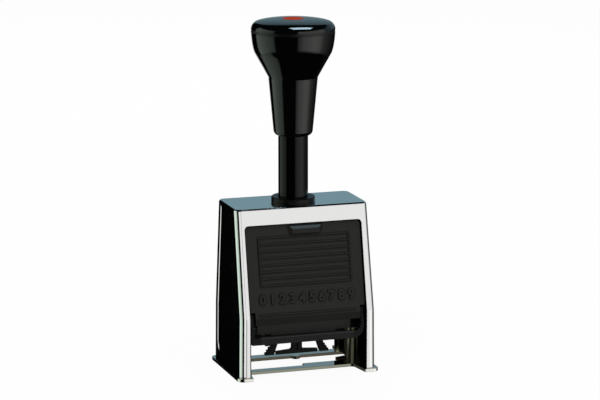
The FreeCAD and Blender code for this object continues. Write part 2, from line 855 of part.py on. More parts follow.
def crank_slot(span):
    """Open slot in the crank's end that the carriage's drive pin runs in."""
    lean = math.radians(swing_angle / 2)
    half = crank_pin_radius + crank_slack + body_gap
    start = swing_reach - crank_pin_radius - body_gap
    tip = swing_reach / math.cos(lean) + crank_end_reach + overrun
    slot = block(span, (start + half, tip), (-half, half))
    slot = slot.fuse(rod_x(half, span, start + half, 0))
    slot.rotate(Vector(0, 0, 0), Vector(1, 0, 0), swing_angle / 2)
    slot.translate(Vector(0, pivot_y, pivot_height))
    return slot


def make_pad_carrier():
    side = arm_outer - arm_thickness
    corner = beam_right_radius
    shoulder = beam_top + corner
    beam = plate_y([(-arm_outer, shoulder, 0), (-arm_outer, beam_bottom, beam_left_radius),
                    (arm_outer, beam_bottom, corner), (arm_outer, shoulder, 0),
                    (side, shoulder, 0), (side, beam_top, corner - arm_thickness),
                    (-side, beam_top, beam_left_radius), (-side, shoulder, 0)],
                   (beam_front, beam_back))
    pieces = []
    span = (side, arm_outer)
    arm = plate_x([(beam_front, beam_top + arm_thickness, 0), (beam_back, wall_bottom, 0),
                   (wall_front + wall_thickness, wall_bottom, 0),
                   (wall_front + wall_thickness, wall_bottom + wall_thickness, 0),
                   (pivot_y + hub_radius, pivot_height, 0), (pivot_y - hub_radius, pivot_height, 0),
                   (beam_front, shoulder - arm_thickness, 0)], span)
    hub = rod_x(hub_radius, (carrier_crank_inner, arm_outer), pivot_y, pivot_height)
    crank_span = (carrier_crank_inner, carrier_crank_inner + carrier_crank_thickness)
    crank = plate_x(crank_outline(), crank_span).cut(crank_slot(crank_span))
    rail_outer = rail_inner + rail_thickness
    rail = block((rail_inner, rail_outer), (beam_front + arm_thickness, rail_back),
                 (cartridge_bottom - rail_lip_thickness, cartridge_top))
    lip = block((rail_inner - rail_lip_width, rail_outer), (beam_back, rail_back),
                (cartridge_bottom - rail_lip_thickness, cartridge_bottom))
    for piece in (arm, hub, crank, rail, lip):
        pieces += [piece, mirrored(piece)]
    wall_reach = carrier_crank_inner + carrier_crank_thickness
    wall = block((-wall_reach, wall_reach), (wall_front, wall_front + wall_thickness),
                 (wall_bottom, wall_bottom + wall_height))
    strip = block((-arm_outer, arm_outer), (wall_front, wall_front + wall_thickness),
                  (wall_bottom, wall_bottom + wall_thickness))
    carrier = beam.fuse(pieces + [wall, strip]).removeSplitter()
    return carrier.cut(rod_x(pivot_radius + running_clearance, (-arm_outer - overrun,
                             arm_outer + overrun), pivot_y, pivot_height))


def grip_leg():
    """Right leg of the grip: splayed, with saw teeth down its outer edge."""
    top = cartridge_bottom + cartridge_height / 4
    drop = grip_leg_top - grip_foot_height
    foot_outer = grip_leg_foot
    top_outer = grip_leg_foot - grip_leg_lean
    corners = [(top_outer - grip_leg_width, top, 0), (foot_outer - grip_leg_width,
               grip_foot_height, 0), (foot_outer, grip_foot_height, 0)]
    for index in range(grip_teeth):
        share = (index + 1) / grip_teeth
        x = foot_outer + (top_outer - foot_outer) * share
        z = grip_foot_height + drop * share
        corners.append((x + grip_tooth_depth, z, 0))
        corners.append((x, z, 0))
    corners.append((top_outer, top, 0))
    return corners


def make_ink_cartridge():
    """Tray that holds the inked felt, with the grip that is pinched to draw it out."""
    half = rail_inner - cartridge_side_gap
    front = beam_back + cartridge_front_gap
    tray = block((-half, half), (front, rail_back), (cartridge_bottom, cartridge_top))
    hollow = block((-half + felt_margin, half - felt_margin),
                   (front + felt_margin, rail_back - felt_margin / 2),
                   (felt_top - felt_depth, felt_top))
    tray = tray.cut(hollow)
    depth = (grip_centre_y - grip_thickness / 2, grip_centre_y + grip_thickness / 2)
    leg = plate_y(grip_leg(), depth)
    root = cartridge_bottom + cartridge_height / 4
    foot = grip_foot_height
    middle = plate_y([
        (-grip_t_half_width, foot, 0), (grip_t_half_width, foot, 0),
        (grip_t_half_width, foot + grip_t_foot_height, 0),
        (grip_stem_half_width, foot + grip_t_flare_height, grip_t_fillet),
        (grip_stem_half_width, root, 0), (-grip_stem_half_width, root, 0),
        (-grip_stem_half_width, foot + grip_t_flare_height, grip_t_fillet),
        (-grip_t_half_width, foot + grip_t_foot_height, 0)], depth)
    groove = block((-grip_groove_width / 2, grip_groove_width / 2),
                   (depth[0] - overrun, depth[0] + grip_groove_depth),
                   (foot + grip_t_foot_height, cartridge_bottom))
    return tray.fuse([leg, mirrored(leg), middle.cut(groove)]).removeSplitter()


def make_ink_felt():
    half = rail_inner - cartridge_side_gap - felt_margin - running_clearance
    front = beam_back + cartridge_front_gap + felt_margin + running_clearance
    return block((-half, half), (front, rail_back - felt_margin / 2 - running_clearance),
                 (felt_top - felt_depth, felt_top))


# Knob outline as (radius share, height share) of knob_radius and knob_height.
body_shares = [(0.463, 0.022), (0.582, 0.497), (0.874, 0.685), (0.953, 0.752),
               (0.989, knob_seam_share)]
crown_shares = [(1.0, knob_seam_share + 0.008), (1.0, 0.898), (0.975, 0.934),
                (0.907, 0.965), (0.25, 0.998)]


def knob_points(shares):
    """(radius, height) points of one stretch of the knob's outline."""
    return [(radius * knob_radius, knob_bottom + height * knob_height)
            for radius, height in shares]


def make_knob_body():
    """Grip of the knob: a slender stem that flares to the rim, bored for tube and screw."""
    socket = tube_radius + running_clearance
    seam = knob_bottom + knob_seam_share * knob_height
    step = knob_bottom + knob_socket_depth
    ledge = seam - knob_screw_head_height - body_gap
    hole = knob_screw_radius + running_clearance
    well = knob_screw_head_radius + body_gap
    outside = knob_points(body_shares)
    inner_foot = outside[0][0] - (outside[0][1] - knob_bottom)
    return turned([(socket, knob_bottom), (inner_foot, knob_bottom)] + outside + [
        (well, seam), (well, ledge), (hole, ledge), (hole, step), (socket, step)])


def make_knob_crown():
    """Domed cap on the knob's rim, with a shallow seat for the coloured disc."""
    seam = knob_bottom + knob_seam_share * knob_height
    outside = knob_points(crown_shares)
    top = outside[-1][1]
    seat = top - knob_disc_thickness
    groove = outside[0][0] - 2 * crown_groove
    wall = knob_disc_radius + running_clearance
    return turned([(0, seam), (groove, seam)] + outside + [(wall, top), (wall, seat), (0, seat)])


def make_knob_disc():
    rim = knob_points(crown_shares)[-1][1]
    seat = rim - knob_disc_thickness
    top = rim + knob_disc_rise
    return turned([(0, seat), (knob_disc_radius, seat),
                        (knob_disc_radius, top - knob_disc_rise),
                        (knob_disc_radius - knob_disc_rise, top), (0, top)])


def make_knob_screw():
    seam = knob_bottom + knob_seam_share * knob_height
    ledge = seam - knob_screw_head_height - body_gap
    foot = tube_top - knob_screw_depth
    return turned([(0, foot), (knob_screw_radius, foot), (knob_screw_radius, ledge),
                        (knob_screw_head_radius, ledge),
                        (knob_screw_head_radius, ledge + knob_screw_head_height),
                        (0, ledge + knob_screw_head_height)])


def make_plunger_tube():
    hole = knob_screw_radius + running_clearance
    hole_foot = tube_top - knob_screw_depth - body_gap
    return turned([
        (tube_bore_radius, crosshead_bottom), (tube_radius, crosshead_bottom),
        (tube_radius, tube_top), (hole, tube_top), (hole, hole_foot), (0, hole_foot),
        (0, tube_seat), (tube_bore_radius, tube_seat)])


def make_buffer_washer():
    inner = tube_radius + running_clearance
    return turned([(inner, buffer_bottom), (bush_radius, buffer_bottom),
                        (bush_radius, buffer_bottom + buffer_thickness),
                        (inner, buffer_bottom + buffer_thickness)])


def make_crosshead():
    """Yoke plate under the tube, with end flanges that the cheeks are screwed to."""
    half = cheek_inner
    depth = (plunger_y - crosshead_half_depth, plunger_y + crosshead_half_depth)
    plate = block((-half, half), depth, (crosshead_bottom, buffer_bottom))
    for start in (-half, half - crosshead_thickness / 2):
        plate = plate.fuse(block((start, start + crosshead_thickness / 2), depth,
                                 (crosshead_bottom - crosshead_rib_height, crosshead_bottom)))
    hole = rod_z(tube_radius + running_clearance, 0, plunger_y,
                 (crosshead_bottom - overrun, buffer_bottom + overrun))
    return plate.cut(hole).removeSplitter()


def cheek_screws(extra, head):
    """Screws that hold the cheeks on the crosshead, two on each side."""
    height = (crosshead_bottom + buffer_bottom) / 2
    screws = []
    for way in (-1, 1):
        place = plunger_y + way * (cheek_half_depth - bridge_screw_head_radius)
        shank = rod_x(bridge_screw_radius + extra, (cheek_inner, cheek_outer), place, height)
        if head:
            corners = hexagon(bridge_screw_head_radius, place, height)
            shank = shank.fuse(plate_x(corners, (cheek_outer, cheek_outer + head)))
        screws += [shank, mirrored(shank)]
    return Part.makeCompound(screws)


def make_cheek():
    """Right cheek: a long plate with a slot that passes the bridge."""
    front = plunger_y - cheek_half_depth
    back = plunger_y + cheek_half_depth
    foot = wheel_axis_height - cheek_foot_radius
    span = (cheek_inner, cheek_outer)
    bar_y, bar_z = polar(detent_bar_angle, detent_bar_reach)
    lug = 2 * detent_bar_half_width
    cheek = plate_x([(front, foot, lug), (back, foot, cheek_corner_radius),
                     (back, buffer_bottom, 0), (front, buffer_bottom, 0),
                     (front, bar_z + 2 * lug, lug), (bar_y - lug, bar_z + lug, detent_bar_half_width),
                     (bar_y - lug, bar_z - lug, detent_bar_half_width),
                     (front, bar_z - 2 * lug, lug)], span)
    slot_half = bridge_half_depth + slot_margin
    slot = plate_x([
        (plunger_y - slot_half, bridge_bottom - slot_margin, slot_margin),
        (plunger_y + slot_half, bridge_bottom - slot_margin, slot_margin),
        (plunger_y + slot_half, bridge_top + stroke + slot_margin, slot_margin),
        (plunger_y - slot_half, bridge_top + stroke + slot_margin, slot_margin)],
        (cheek_inner - overrun, cheek_outer + overrun))
    holes = [rod_x(shaft_radius + running_clearance, span, plunger_y, wheel_axis_height),
             rod_x(crank_pin_radius + running_clearance, span, crank_pin_y, crank_pin_height)]
    holes.append(rod_x(tie_rod_radius / 2 + running_clearance, span, *tie_rod_place()))
    return cheek.cut(slot).cut(holes).cut(cheek_screws(running_clearance, 0))


def tie_rod_place():
    """Y and Z of the rod between the cheeks: in front of the slot, under the crosshead."""
    slot_front = plunger_y - bridge_half_depth - slot_margin
    front = plunger_y - cheek_half_depth
    return (slot_front + front) / 2, crosshead_bottom - crosshead_rib_height - tie_rod_drop


def make_tie_rod():
    y, z = tie_rod_place()
    rod = rod_x(tie_rod_radius, (-cheek_inner, cheek_inner), y, z)
    return rod.fuse(rod_x(tie_rod_radius / 2, (-cheek_outer, cheek_outer), y, z))


def make_slide_shoes():
    """Four slide blocks that run in the guides, each on a boss against its cheek."""
    front = plunger_y - guide_half_depth + guide_thickness + body_gap
    back = plunger_y + guide_half_depth - guide_thickness - body_gap
    lower = wheel_axis_height - cheek_foot_radius + running_clearance
    upper = buffer_bottom - shoe_upper_height
    shoes = []
    for foot, height, set_back in ((lower, shoe_lower_height, shoe_boss_back),
                                   (upper, shoe_upper_height, 0)):
        span = (foot, foot + height)
        middle = plunger_y + set_back
        boss = (middle - shoe_boss_half_depth, middle + shoe_boss_half_depth)
        shoe = block((shoe_inner, shoe_outer), (front, back), span)
        shoe = shoe.fuse(block((cheek_outer, shoe_inner), boss, span)).removeSplitter()
        shoe = shoe.cut(rod_x(shaft_nut_radius + body_gap, (cheek_outer, shoe_inner + shoe_gap / 2),
                              plunger_y, wheel_axis_height))
        shoes += [shoe, mirrored(shoe)]
    return Part.makeCompound(shoes)


def make_wheel_shaft():
    reach = cheek_outer + shaft_nut_thickness
    return rod_x(shaft_radius, (-reach, reach), plunger_y, wheel_axis_height)


def make_shaft_nuts():
    span = (cheek_outer, cheek_outer + shaft_nut_thickness)
    nut = plate_x(hexagon(shaft_nut_radius, plunger_y, wheel_axis_height), span)
    nut = nut.cut(rod_x(shaft_radius + running_clearance, span, plunger_y, wheel_axis_height))
    return Part.makeCompound([nut, mirrored(nut)])


def make_shaft_spacer():
    inner = wheel_pack_half + 2 * body_gap + lever_thickness
    span = (inner, cheek_inner)
    spacer = rod_x(spacer_radius, span, plunger_y, wheel_axis_height)
    return spacer.cut(rod_x(shaft_radius + running_clearance, span, plunger_y, wheel_axis_height))


def make_drive_pins():
    """Pins on the cheeks that turn the pad carrier by its cranks."""
    reach = carrier_crank_inner + carrier_crank_thickness + body_gap
    pin = rod_x(crank_pin_radius, (cheek_inner, reach), crank_pin_y, crank_pin_height)
    return Part.makeCompound([pin, mirrored(pin)])


def wheel_start(index):
    """X where a number wheel starts, counted from the left."""
    return -wheel_pack_half + index * wheel_pitch


def ratchet_points():
    """(y, z) corners of a ratchet with one saw tooth for each figure."""
    corners = []
    for index in range(figure_count):
        angle = 360 / figure_count * index
        corners.append((*polar(angle, ratchet_root_radius), 0))
        corners.append((*polar(angle, ratchet_tip_radius), 0))
    return corners


def wheel_corners():
    """(y, z) corners of a wheel's rim: a flat block for each figure, and valleys between."""
    top_half = math.degrees(math.asin(figure_block_width / 2 / wheel_radius))
    foot_half = math.degrees(math.asin(figure_block_width / 2 / wheel_drum_radius))
    corners = []
    for index in range(figure_count):
        middle = 90 + 360 / figure_count * index
        for angle, reach in ((middle - foot_half, wheel_drum_radius),
                             (middle - top_half, wheel_radius),
                             (middle + top_half, wheel_radius),
                             (middle + foot_half, wheel_drum_radius)):
            corners.append((*polar(angle, reach), 0))
    return corners


def make_number_wheel(index):
    """Wheel with a raised block for each figure and a ratchet on its right side."""
    start = wheel_start(index)
    end = start + wheel_pitch - wheel_gap
    rim = plate_x(wheel_corners(), (start, start + wheel_drum_width))
    ratchet = plate_x(ratchet_points(), (start + wheel_drum_width, end))
    return rim.fuse(ratchet).cut(rod_x(shaft_radius + running_clearance, (start, end),
                                       plunger_y, wheel_axis_height))


def make_feed_lever():
    """Stirrup over the wheels: two arms on the shaft, a pawl pin and the cam follower."""
    inner = wheel_pack_half + body_gap
    outer = inner + lever_thickness
    y, z = polar(pawl_rest_angle, pawl_reach)
    follower_y, follower_z = polar(follower_rest_angle, follower_reach)
    pieces = []
    for span in ((inner, outer), (-outer, -inner)):
        pieces.append(rod_x(lever_hub_radius, span, plunger_y, wheel_axis_height))
        pieces.append(rod_x(pawl_hub_radius, span, y, z))
        pieces.append(bar_between(span, (plunger_y, wheel_axis_height), (y, z)))
    pieces.append(bar_between((inner, outer), (plunger_y, wheel_axis_height),
                              (follower_y, follower_z)))
    reach = outer + cam_gap + cam_thickness + body_gap
    pieces.append(rod_x(follower_radius, (inner, reach), follower_y, follower_z))
    pieces.append(rod_x(pawl_pin_radius, (-outer, outer), y, z))
    lever = pieces[0].fuse(pieces[1:]).removeSplitter()
    return lever.cut(rod_x(shaft_radius + running_clearance, (-outer - overrun, outer + overrun),
                           plunger_y, wheel_axis_height))


def bar_between(span, start, end):
    """Flat bar square to X that joins two (y, z) places."""
    way = Vector(0, end[0] - start[0], end[1] - start[1]).normalize()
    side = Vector(0, -way.z, way.y) * lever_arm_half_width
    corners = [(start[0] + side.y, start[1] + side.z, 0), (start[0] - side.y, start[1] - side.z, 0),
               (end[0] - side.y, end[1] - side.z, 0), (end[0] + side.y, end[1] + side.z, 0)]
    return plate_x(corners, span)


def make_feed_pawl():
    """Comb pawl on the lever's pin: one finger to each ratchet."""
    inner = wheel_pack_half
    y, z = polar(pawl_rest_angle, pawl_reach)
    pawl = rod_x(pawl_hub_radius, (-inner, inner), y, z)
    tip = ratchet_tip_radius + body_gap
    for index in range(wheel_count):
        middle = wheel_start(index) + (wheel_drum_width + wheel_pitch) / 2
        span = (middle - pawl_finger_width / 2, middle + pawl_finger_width / 2)
        near = polar(pawl_rest_angle - pawl_swing_angle, tip)
        far = polar(pawl_rest_angle + pawl_swing_angle / 2, tip)
        finger = plate_x([(near[0], near[1], 0), (far[0], far[1], 0),
                          (y, z + pawl_finger_thickness / 2, 0),
                          (y, z - pawl_hub_radius, 0)], span)
        pawl = pawl.fuse(finger)
    return pawl.removeSplitter().cut(rod_x(pawl_pin_radius + running_clearance,
                                           (-inner - overrun, inner + overrun), y, z))


def make_detent_bar():
    """Bar between the cheeks, in front of the wheels, that carries the detent comb."""
    y, z = polar(detent_bar_angle, detent_bar_reach)
    half = detent_bar_half_width
    return block((-cheek_inner, cheek_inner), (y - half, y + half), (z - half, z + half))


def make_detent_comb():
    """Leaf comb on the bar's back: one spring leaf rests over each ratchet."""
    y, z = polar(detent_bar_angle, detent_bar_reach)
    half = detent_bar_half_width
    back = y + half
    comb = block((-wheel_pack_half, wheel_pack_half), (back, back + detent_leaf_thickness),
                 (z - half, z + half))
    tip_y, tip_z = polar(detent_bar_angle + detent_leaf_angle, ratchet_tip_radius + body_gap)
    for index in range(wheel_count):
        middle = wheel_start(index) + (wheel_drum_width + wheel_pitch) / 2
        span = (middle - pawl_finger_width / 2, middle + pawl_finger_width / 2)
        leaf = plate_x([(back, z + half, 0), (back, z, 0),
                        (tip_y, tip_z - detent_leaf_thickness, 0), (tip_y, tip_z, 0)], span)
        comb = comb.fuse(leaf)
    return comb.removeSplitter()


def build():
    os.makedirs("parts", exist_ok=True)
    guide = make_guide()
    cheek = make_cheek()
    spacer = make_shaft_spacer()
    head = bridge_screw_head_height
    nodes = {
        "housing": make_housing(),
        "base_plate": make_base_plate(),
        "base_rivets": make_base_rivets(),
        "guide_right": guide,
        "guide_left": mirrored(guide),
        "collar": make_collar(),
        "bush_nut": make_bush_nut(),
        "bridge": make_bridge(),
        "bridge_screws": bridge_screws(0, head),
        "spring_post": make_spring_post(),
        "return_spring": make_return_spring(),
        "pivot_shaft": make_pivot_shaft(),
        "pivot_bushes": make_pivot_bushes(),
        "rear_cover": make_rear_cover(),
        "feed_cam": make_feed_cam(),
        "feed_cam_screw": cam_screw(0, head),
        "front_cover": make_front_cover(),
        "pad_carrier": make_pad_carrier(),
        "ink_cartridge": make_ink_cartridge(),
        "ink_felt": make_ink_felt(),
        "knob_body": make_knob_body(),
        "knob_crown": make_knob_crown(),
        "knob_disc": make_knob_disc(),
        "knob_screw": make_knob_screw(),
        "plunger_tube": make_plunger_tube(),
        "buffer_washer": make_buffer_washer(),
        "crosshead": make_crosshead(),
        "cheek_right": cheek,
        "cheek_left": mirrored(cheek),
        "cheek_screws": cheek_screws(0, head),
        "tie_rod": make_tie_rod(),
        "slide_shoes": make_slide_shoes(),
        "wheel_shaft": make_wheel_shaft(),
        "shaft_nuts": make_shaft_nuts(),
        "shaft_spacer_right": spacer,
        "shaft_spacer_left": mirrored(spacer),
        "drive_pins": make_drive_pins(),
        "detent_bar": make_detent_bar(),
        "detent_comb": make_detent_comb(),
        "feed_lever": make_feed_lever(),
        "feed_pawl": make_feed_pawl(),
    }
    for index in range(wheel_count):
        nodes["number_wheel_%d" % (index + 1)] = make_number_wheel(index)
    for name, shape in nodes.items():
        save(name, shape)


build()
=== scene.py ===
import math

import bmesh
import bpy
from mathutils import Matrix, Vector


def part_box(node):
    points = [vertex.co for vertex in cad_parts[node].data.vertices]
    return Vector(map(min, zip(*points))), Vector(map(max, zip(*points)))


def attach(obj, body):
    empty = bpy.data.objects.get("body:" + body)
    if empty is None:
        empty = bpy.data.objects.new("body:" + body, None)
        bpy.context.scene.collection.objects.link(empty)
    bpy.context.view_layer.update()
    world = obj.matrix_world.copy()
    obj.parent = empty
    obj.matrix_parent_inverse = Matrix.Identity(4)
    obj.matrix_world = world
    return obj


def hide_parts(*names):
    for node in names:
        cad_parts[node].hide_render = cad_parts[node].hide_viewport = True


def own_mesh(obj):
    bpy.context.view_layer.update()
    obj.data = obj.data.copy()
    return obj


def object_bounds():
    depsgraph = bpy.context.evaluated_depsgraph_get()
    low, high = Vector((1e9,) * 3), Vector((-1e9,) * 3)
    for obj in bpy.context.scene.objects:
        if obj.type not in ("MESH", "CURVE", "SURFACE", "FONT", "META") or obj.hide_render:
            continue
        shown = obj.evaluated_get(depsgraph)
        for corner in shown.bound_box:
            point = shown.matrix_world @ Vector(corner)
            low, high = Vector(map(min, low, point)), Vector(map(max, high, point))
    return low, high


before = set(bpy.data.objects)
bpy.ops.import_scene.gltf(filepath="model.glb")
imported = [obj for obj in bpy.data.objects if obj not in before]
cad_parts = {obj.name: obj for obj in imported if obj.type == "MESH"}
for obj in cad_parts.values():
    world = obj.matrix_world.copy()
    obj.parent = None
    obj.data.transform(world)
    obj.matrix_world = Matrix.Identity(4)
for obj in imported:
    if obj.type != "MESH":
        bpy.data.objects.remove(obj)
cad_box = [list(corner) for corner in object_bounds()]

# Sizes are in metres, and mm turns a size in millimetres into them.
mm = 0.001

# The camera stands to the left of the front and looks slightly down.
camera_azimuth = 18.057
camera_elevation = 11.548
camera_distance = 1381.6 * mm
camera_target = Vector((3.029, 0.0, 85.063)) * mm
camera_lens = 165.15
sensor_width = 36.0
camera_clip = (0.05, 50.0)

# Front cover: upright to the bend, then leaning back with the housing's front.
bend_height = 31.25 * mm
cover_front = -22.6 * mm
cover_lean = math.atan2(11.1, 53.35)

# Dark webs under the pad carrier's cranks, which stand in for the shade in the gap beside them:
# side outline as (Y, Z) in millimetres, and the reach of their inner and outer faces.
web_outline = [(-15.3, 34.0), (-15.2, 26.0), (-14.2, 24.4), (-10.4, 24.4), (-9.2, 26.0),
               (-9.2, 36.0)]
web_reach = (24.5 * mm, 25.2 * mm)

# Number wheels: figures stand on the flat blocks of each wheel.
figure_count = 10
wheel_count = 6
block_width = 3.0 * mm
figure_rise = 0.25 * mm
figure_height = 3.5 * mm
figure_sink = 0.1 * mm
figure_bevel = 0.06 * mm
figure_narrowing = 0.92

# Knob: outlines of its grip, its seam and its cap as (radius share, height share) of the
# knob's own size. Each outline is a list of stretches, which meet at a crisp edge.
grip_shares = [
    [(0.405, 0.000), (0.440, 0.010), (0.468, 0.030)],
    [(0.468, 0.030), (0.588, 0.497)],
    [(0.588, 0.497), (0.730, 0.590), (0.868, 0.678), (0.922, 0.716), (0.954, 0.755),
     (0.976, 0.800), (0.992, 0.850), (0.998, 0.886)],
    [(0.998, 0.886), (0.980, 0.887)]]
seam_shares = [[(0.960, 0.886), (0.994, 0.887)], [(0.994, 0.887), (0.995, 0.911)],
               [(0.995, 0.911), (0.960, 0.912)]]
cap_shares = [
    [(0.980, 0.911), (1.0, 0.912)],
    [(1.0, 0.912), (0.994, 0.925), (0.974, 0.942), (0.932, 0.960), (0.870, 0.973),
     (0.700, 0.986), (0.480, 0.994), (0.250, 0.998)]]
knob_segments = 128
points_per_stretch = 6
knob_gap = 0.05 * mm

# Return spring between the bridge and the plug in the tube.
spring_turns = 11
spring_closed_turns = 0.9
spring_closed_pitch = 1.26 * mm
spring_wire_radius = 0.6 * mm
spring_mean_radius = 4.1 * mm
spring_steps_per_turn = 40
spring_ring_points = 12

# Felt pad: soft edges, and low waves where the wheels have worn it.
felt_columns = 48
felt_rows = 30
felt_edge_width = 1.2 * mm
felt_edge_fall = 0.5 * mm
felt_wear = 0.05 * mm
felt_waves = (1.7 / mm, 1.3 / mm)

# Strengths of the light: the white seen by the camera, and the plain level on the object.
backdrop_level = 1.0
room_level = 0.62

# Soft square lamps, not mirrored in the metal, as (name, place, aim, size, watts).
lamps = [("key_lamp", Vector((-0.7, -0.9, 1.1)), Vector((0, 0, 0.08)), 0.9, 7.2),
         ("fill_lamp", Vector((0.3, -1.3, 0.22)), Vector((0, 0, 0.04)), 0.6, 5.28),
         ("back_lamp", Vector((0.2, 1.0, 0.9)), Vector((0, 0, 0.08)), 0.9, 3.84)]

# Floor: half its width, its paper's shade, how much of its white the camera sees, and how
# far it lies under the machine.
floor_reach = 6.0
floor_shade = 0.9
floor_glow = 0.94
floor_gap = 0.02 * mm

# Carrier arms, which lie further out and higher than this, are painted dark as painted shade.
arm_shade_place = (24.4 * mm, 18.0 * mm)

# Moulded parts are darker below these heights: painted shade on the cover's upright foot, and on
# the pad carrier a tint painted lighter above its beam, as painted light against the cover's
# shade.
carrier_beam_top = 20.6 * mm
cover_foot_top = 31.0 * mm

# Guide rails are painted black above this height, as painted shade inside the housing.
guide_shade_height = 21.0 * mm

# The base plate's feet lie beyond this reach, and above this height.
plate_feet = (27.0 * mm, -1.0 * mm)

# Painted shade in the hollows beside raised figures and ribs.
hollow_samples = 8
hollow_reach = 1.0 * mm
hollow_depth = 6.0

# A face counts as level when its normal rises or falls by more than this.
level_face = 0.6

# Rounding of pressed and moulded edges.
edge_samples = 6
pressed_edge = 0.3 * mm
moulded_edge = 0.22 * mm


class Value:
    """A node's output that Python sums and products can use."""

    def __init__(self, graph, socket):
        self.graph = graph
        self.socket = socket

    def maths(self, operation, first, second=0.0):
        made = self.graph.node("ShaderNodeMath", {"operation": operation}, {0: first, 1: second})
        return self.graph.out(made, 0)

    def __add__(self, other):
        return self.maths("ADD", self, other)

    def __radd__(self, other):
        return self.maths("ADD", other, self)

    def __sub__(self, other):
        return self.maths("SUBTRACT", self, other)

    def __rsub__(self, other):
        return self.maths("SUBTRACT", other, self)

    def __mul__(self, other):
        return self.maths("MULTIPLY", self, other)

    def __rmul__(self, other):
        return self.maths("MULTIPLY", other, self)

    def __truediv__(self, other):
        return self.maths("DIVIDE", self, other)

    def above(self, limit):
        return self.maths("GREATER_THAN", self, limit)

    def power(self, exponent):
        return self.maths("POWER", self, exponent)

    def size(self):
        return self.maths("ABSOLUTE", self)

    def ramp(self, start, end):
        """0 before start and 1 past end, in a straight line between; end may be the lower."""
        made = self.graph.node("ShaderNodeMapRange", {"clamp": True}, {
            "Value": self, "From Min": start, "From Max": end})
        return self.graph.out(made, 0)


class Graph:
    """Node tree of a material or the world, with one method that adds every node."""

    def __init__(self, owner):
        owner.use_nodes = True
        self.tree = owner.node_tree
        self.tree.nodes.clear()

    def node(self, kind, settings=None, inputs=None):
        made = self.tree.nodes.new(kind)
        for key, setting in (settings or {}).items():
            if key == "stops":
                self.set_stops(made.color_ramp, setting)
            else:
                setattr(made, key, setting)
        for key, given in (inputs or {}).items():
            if isinstance(given, Value):
                self.tree.links.new(given.socket, made.inputs[key])
            else:
                made.inputs[key].default_value = given
        return made

    def out(self, node, key):
        return Value(self, node.outputs[key])

    def set_stops(self, ramp, stops):
        while len(ramp.elements) < len(stops):
            ramp.elements.new(0.5)
        for element, (place, colour) in zip(ramp.elements, stops):
            element.position = place
            element.color = colour

    def mix(self, share, first, second):
        """Colour between two others."""
        made = self.node("ShaderNodeMix", {"data_type": "RGBA"},
                         {"Factor": share, 6: first, 7: second})
        return self.out(made, 2)

    def noise(self, size, detail=3.0, roughness=0.5, stretch=(1.0, 1.0, 1.0)):
        """Noise whose features are about one size, in metres, along the piece's own axes."""
        place = self.out(self.node("ShaderNodeTexCoord"), "Object")
        mapped = self.node("ShaderNodeMapping", {}, {"Vector": place, "Scale": stretch})
        made = self.node("ShaderNodeTexNoise", {}, {
            "Vector": self.out(mapped, 0), "Scale": 1.0 / size, "Detail": detail,
            "Roughness": roughness})
        return self.out(made, 0)

    def split(self, vector):
        """X, Y and Z of a vector."""
        parts = self.node("ShaderNodeSeparateXYZ", {}, {"Vector": vector})
        return [self.out(parts, index) for index in range(3)]

    def place(self):
        """X, Y and Z of the point along the piece's own axes."""
        return self.split(self.out(self.node("ShaderNodeTexCoord"), "Object"))

    def facings(self):
        """Masks of the faces that look towards the machine's middle, up or down, and down."""
        where = self.node("ShaderNodeTexCoord")
        normal = self.out(where, "Normal")
        level = self.node("ShaderNodeVectorMath", {"operation": "MULTIPLY"}, {
            0: self.out(where, "Object"), 1: (1.0, 1.0, 0.0)})
        outward = self.node("ShaderNodeVectorMath", {"operation": "DOT_PRODUCT"}, {
            0: normal, 1: self.out(level, 0)})
        rise = self.split(normal)[2]
        return (1 - self.out(outward, 1).above(0.0), rise.size().above(level_face),
                (0 - rise).above(level_face))

    def beyond(self, reach, height):
        """Mask of what lies further out than a reach on either side, and above a height."""
        x, y, z = self.place()
        return x.size().above(reach) * z.above(height)

    def below(self, height):
        """Mask of what lies lower than a height."""
        return 1 - self.place()[2].above(height)

    def hollows(self, reach):
        """1 on open faces, falling to 0 in the corners that lie within a reach of a wall: a mask
        of painted shade.
        """
        near = self.node("ShaderNodeAmbientOcclusion", {"samples": hollow_samples}, {
            "Distance": reach})
        return self.out(near, 1).power(hollow_depth)

    def bump(self, height, strength, distance, edge=0.0):
        """Normal of a surface with small height changes, and with its edges rounded off."""
        inputs = {"Height": height, "Strength": strength, "Distance": distance}
        if edge:
            worn = self.node("ShaderNodeBevel", {"samples": edge_samples}, {"Radius": edge})
            inputs["Normal"] = self.out(worn, 0)
        return self.out(self.node("ShaderNodeBump", {}, inputs), 0)


def colour(red, green, blue):
    return (red, green, blue, 1.0)


def grey(level):
    return (level, level, level, 1.0)


def shaded(tint, share):
    """A tint at a share of its brightness."""
    return colour(*[part * share for part in tint])


def finish(name, inputs):
    """Material with one Principled shader, whose inputs a function works out from the graph."""
    material = bpy.data.materials.new(name)
    graph = Graph(material)
    shader = graph.node("ShaderNodeBsdfPrincipled", {}, inputs(graph))
    graph.node("ShaderNodeOutputMaterial", {}, {"Surface": graph.out(shader, 0)})
    return material


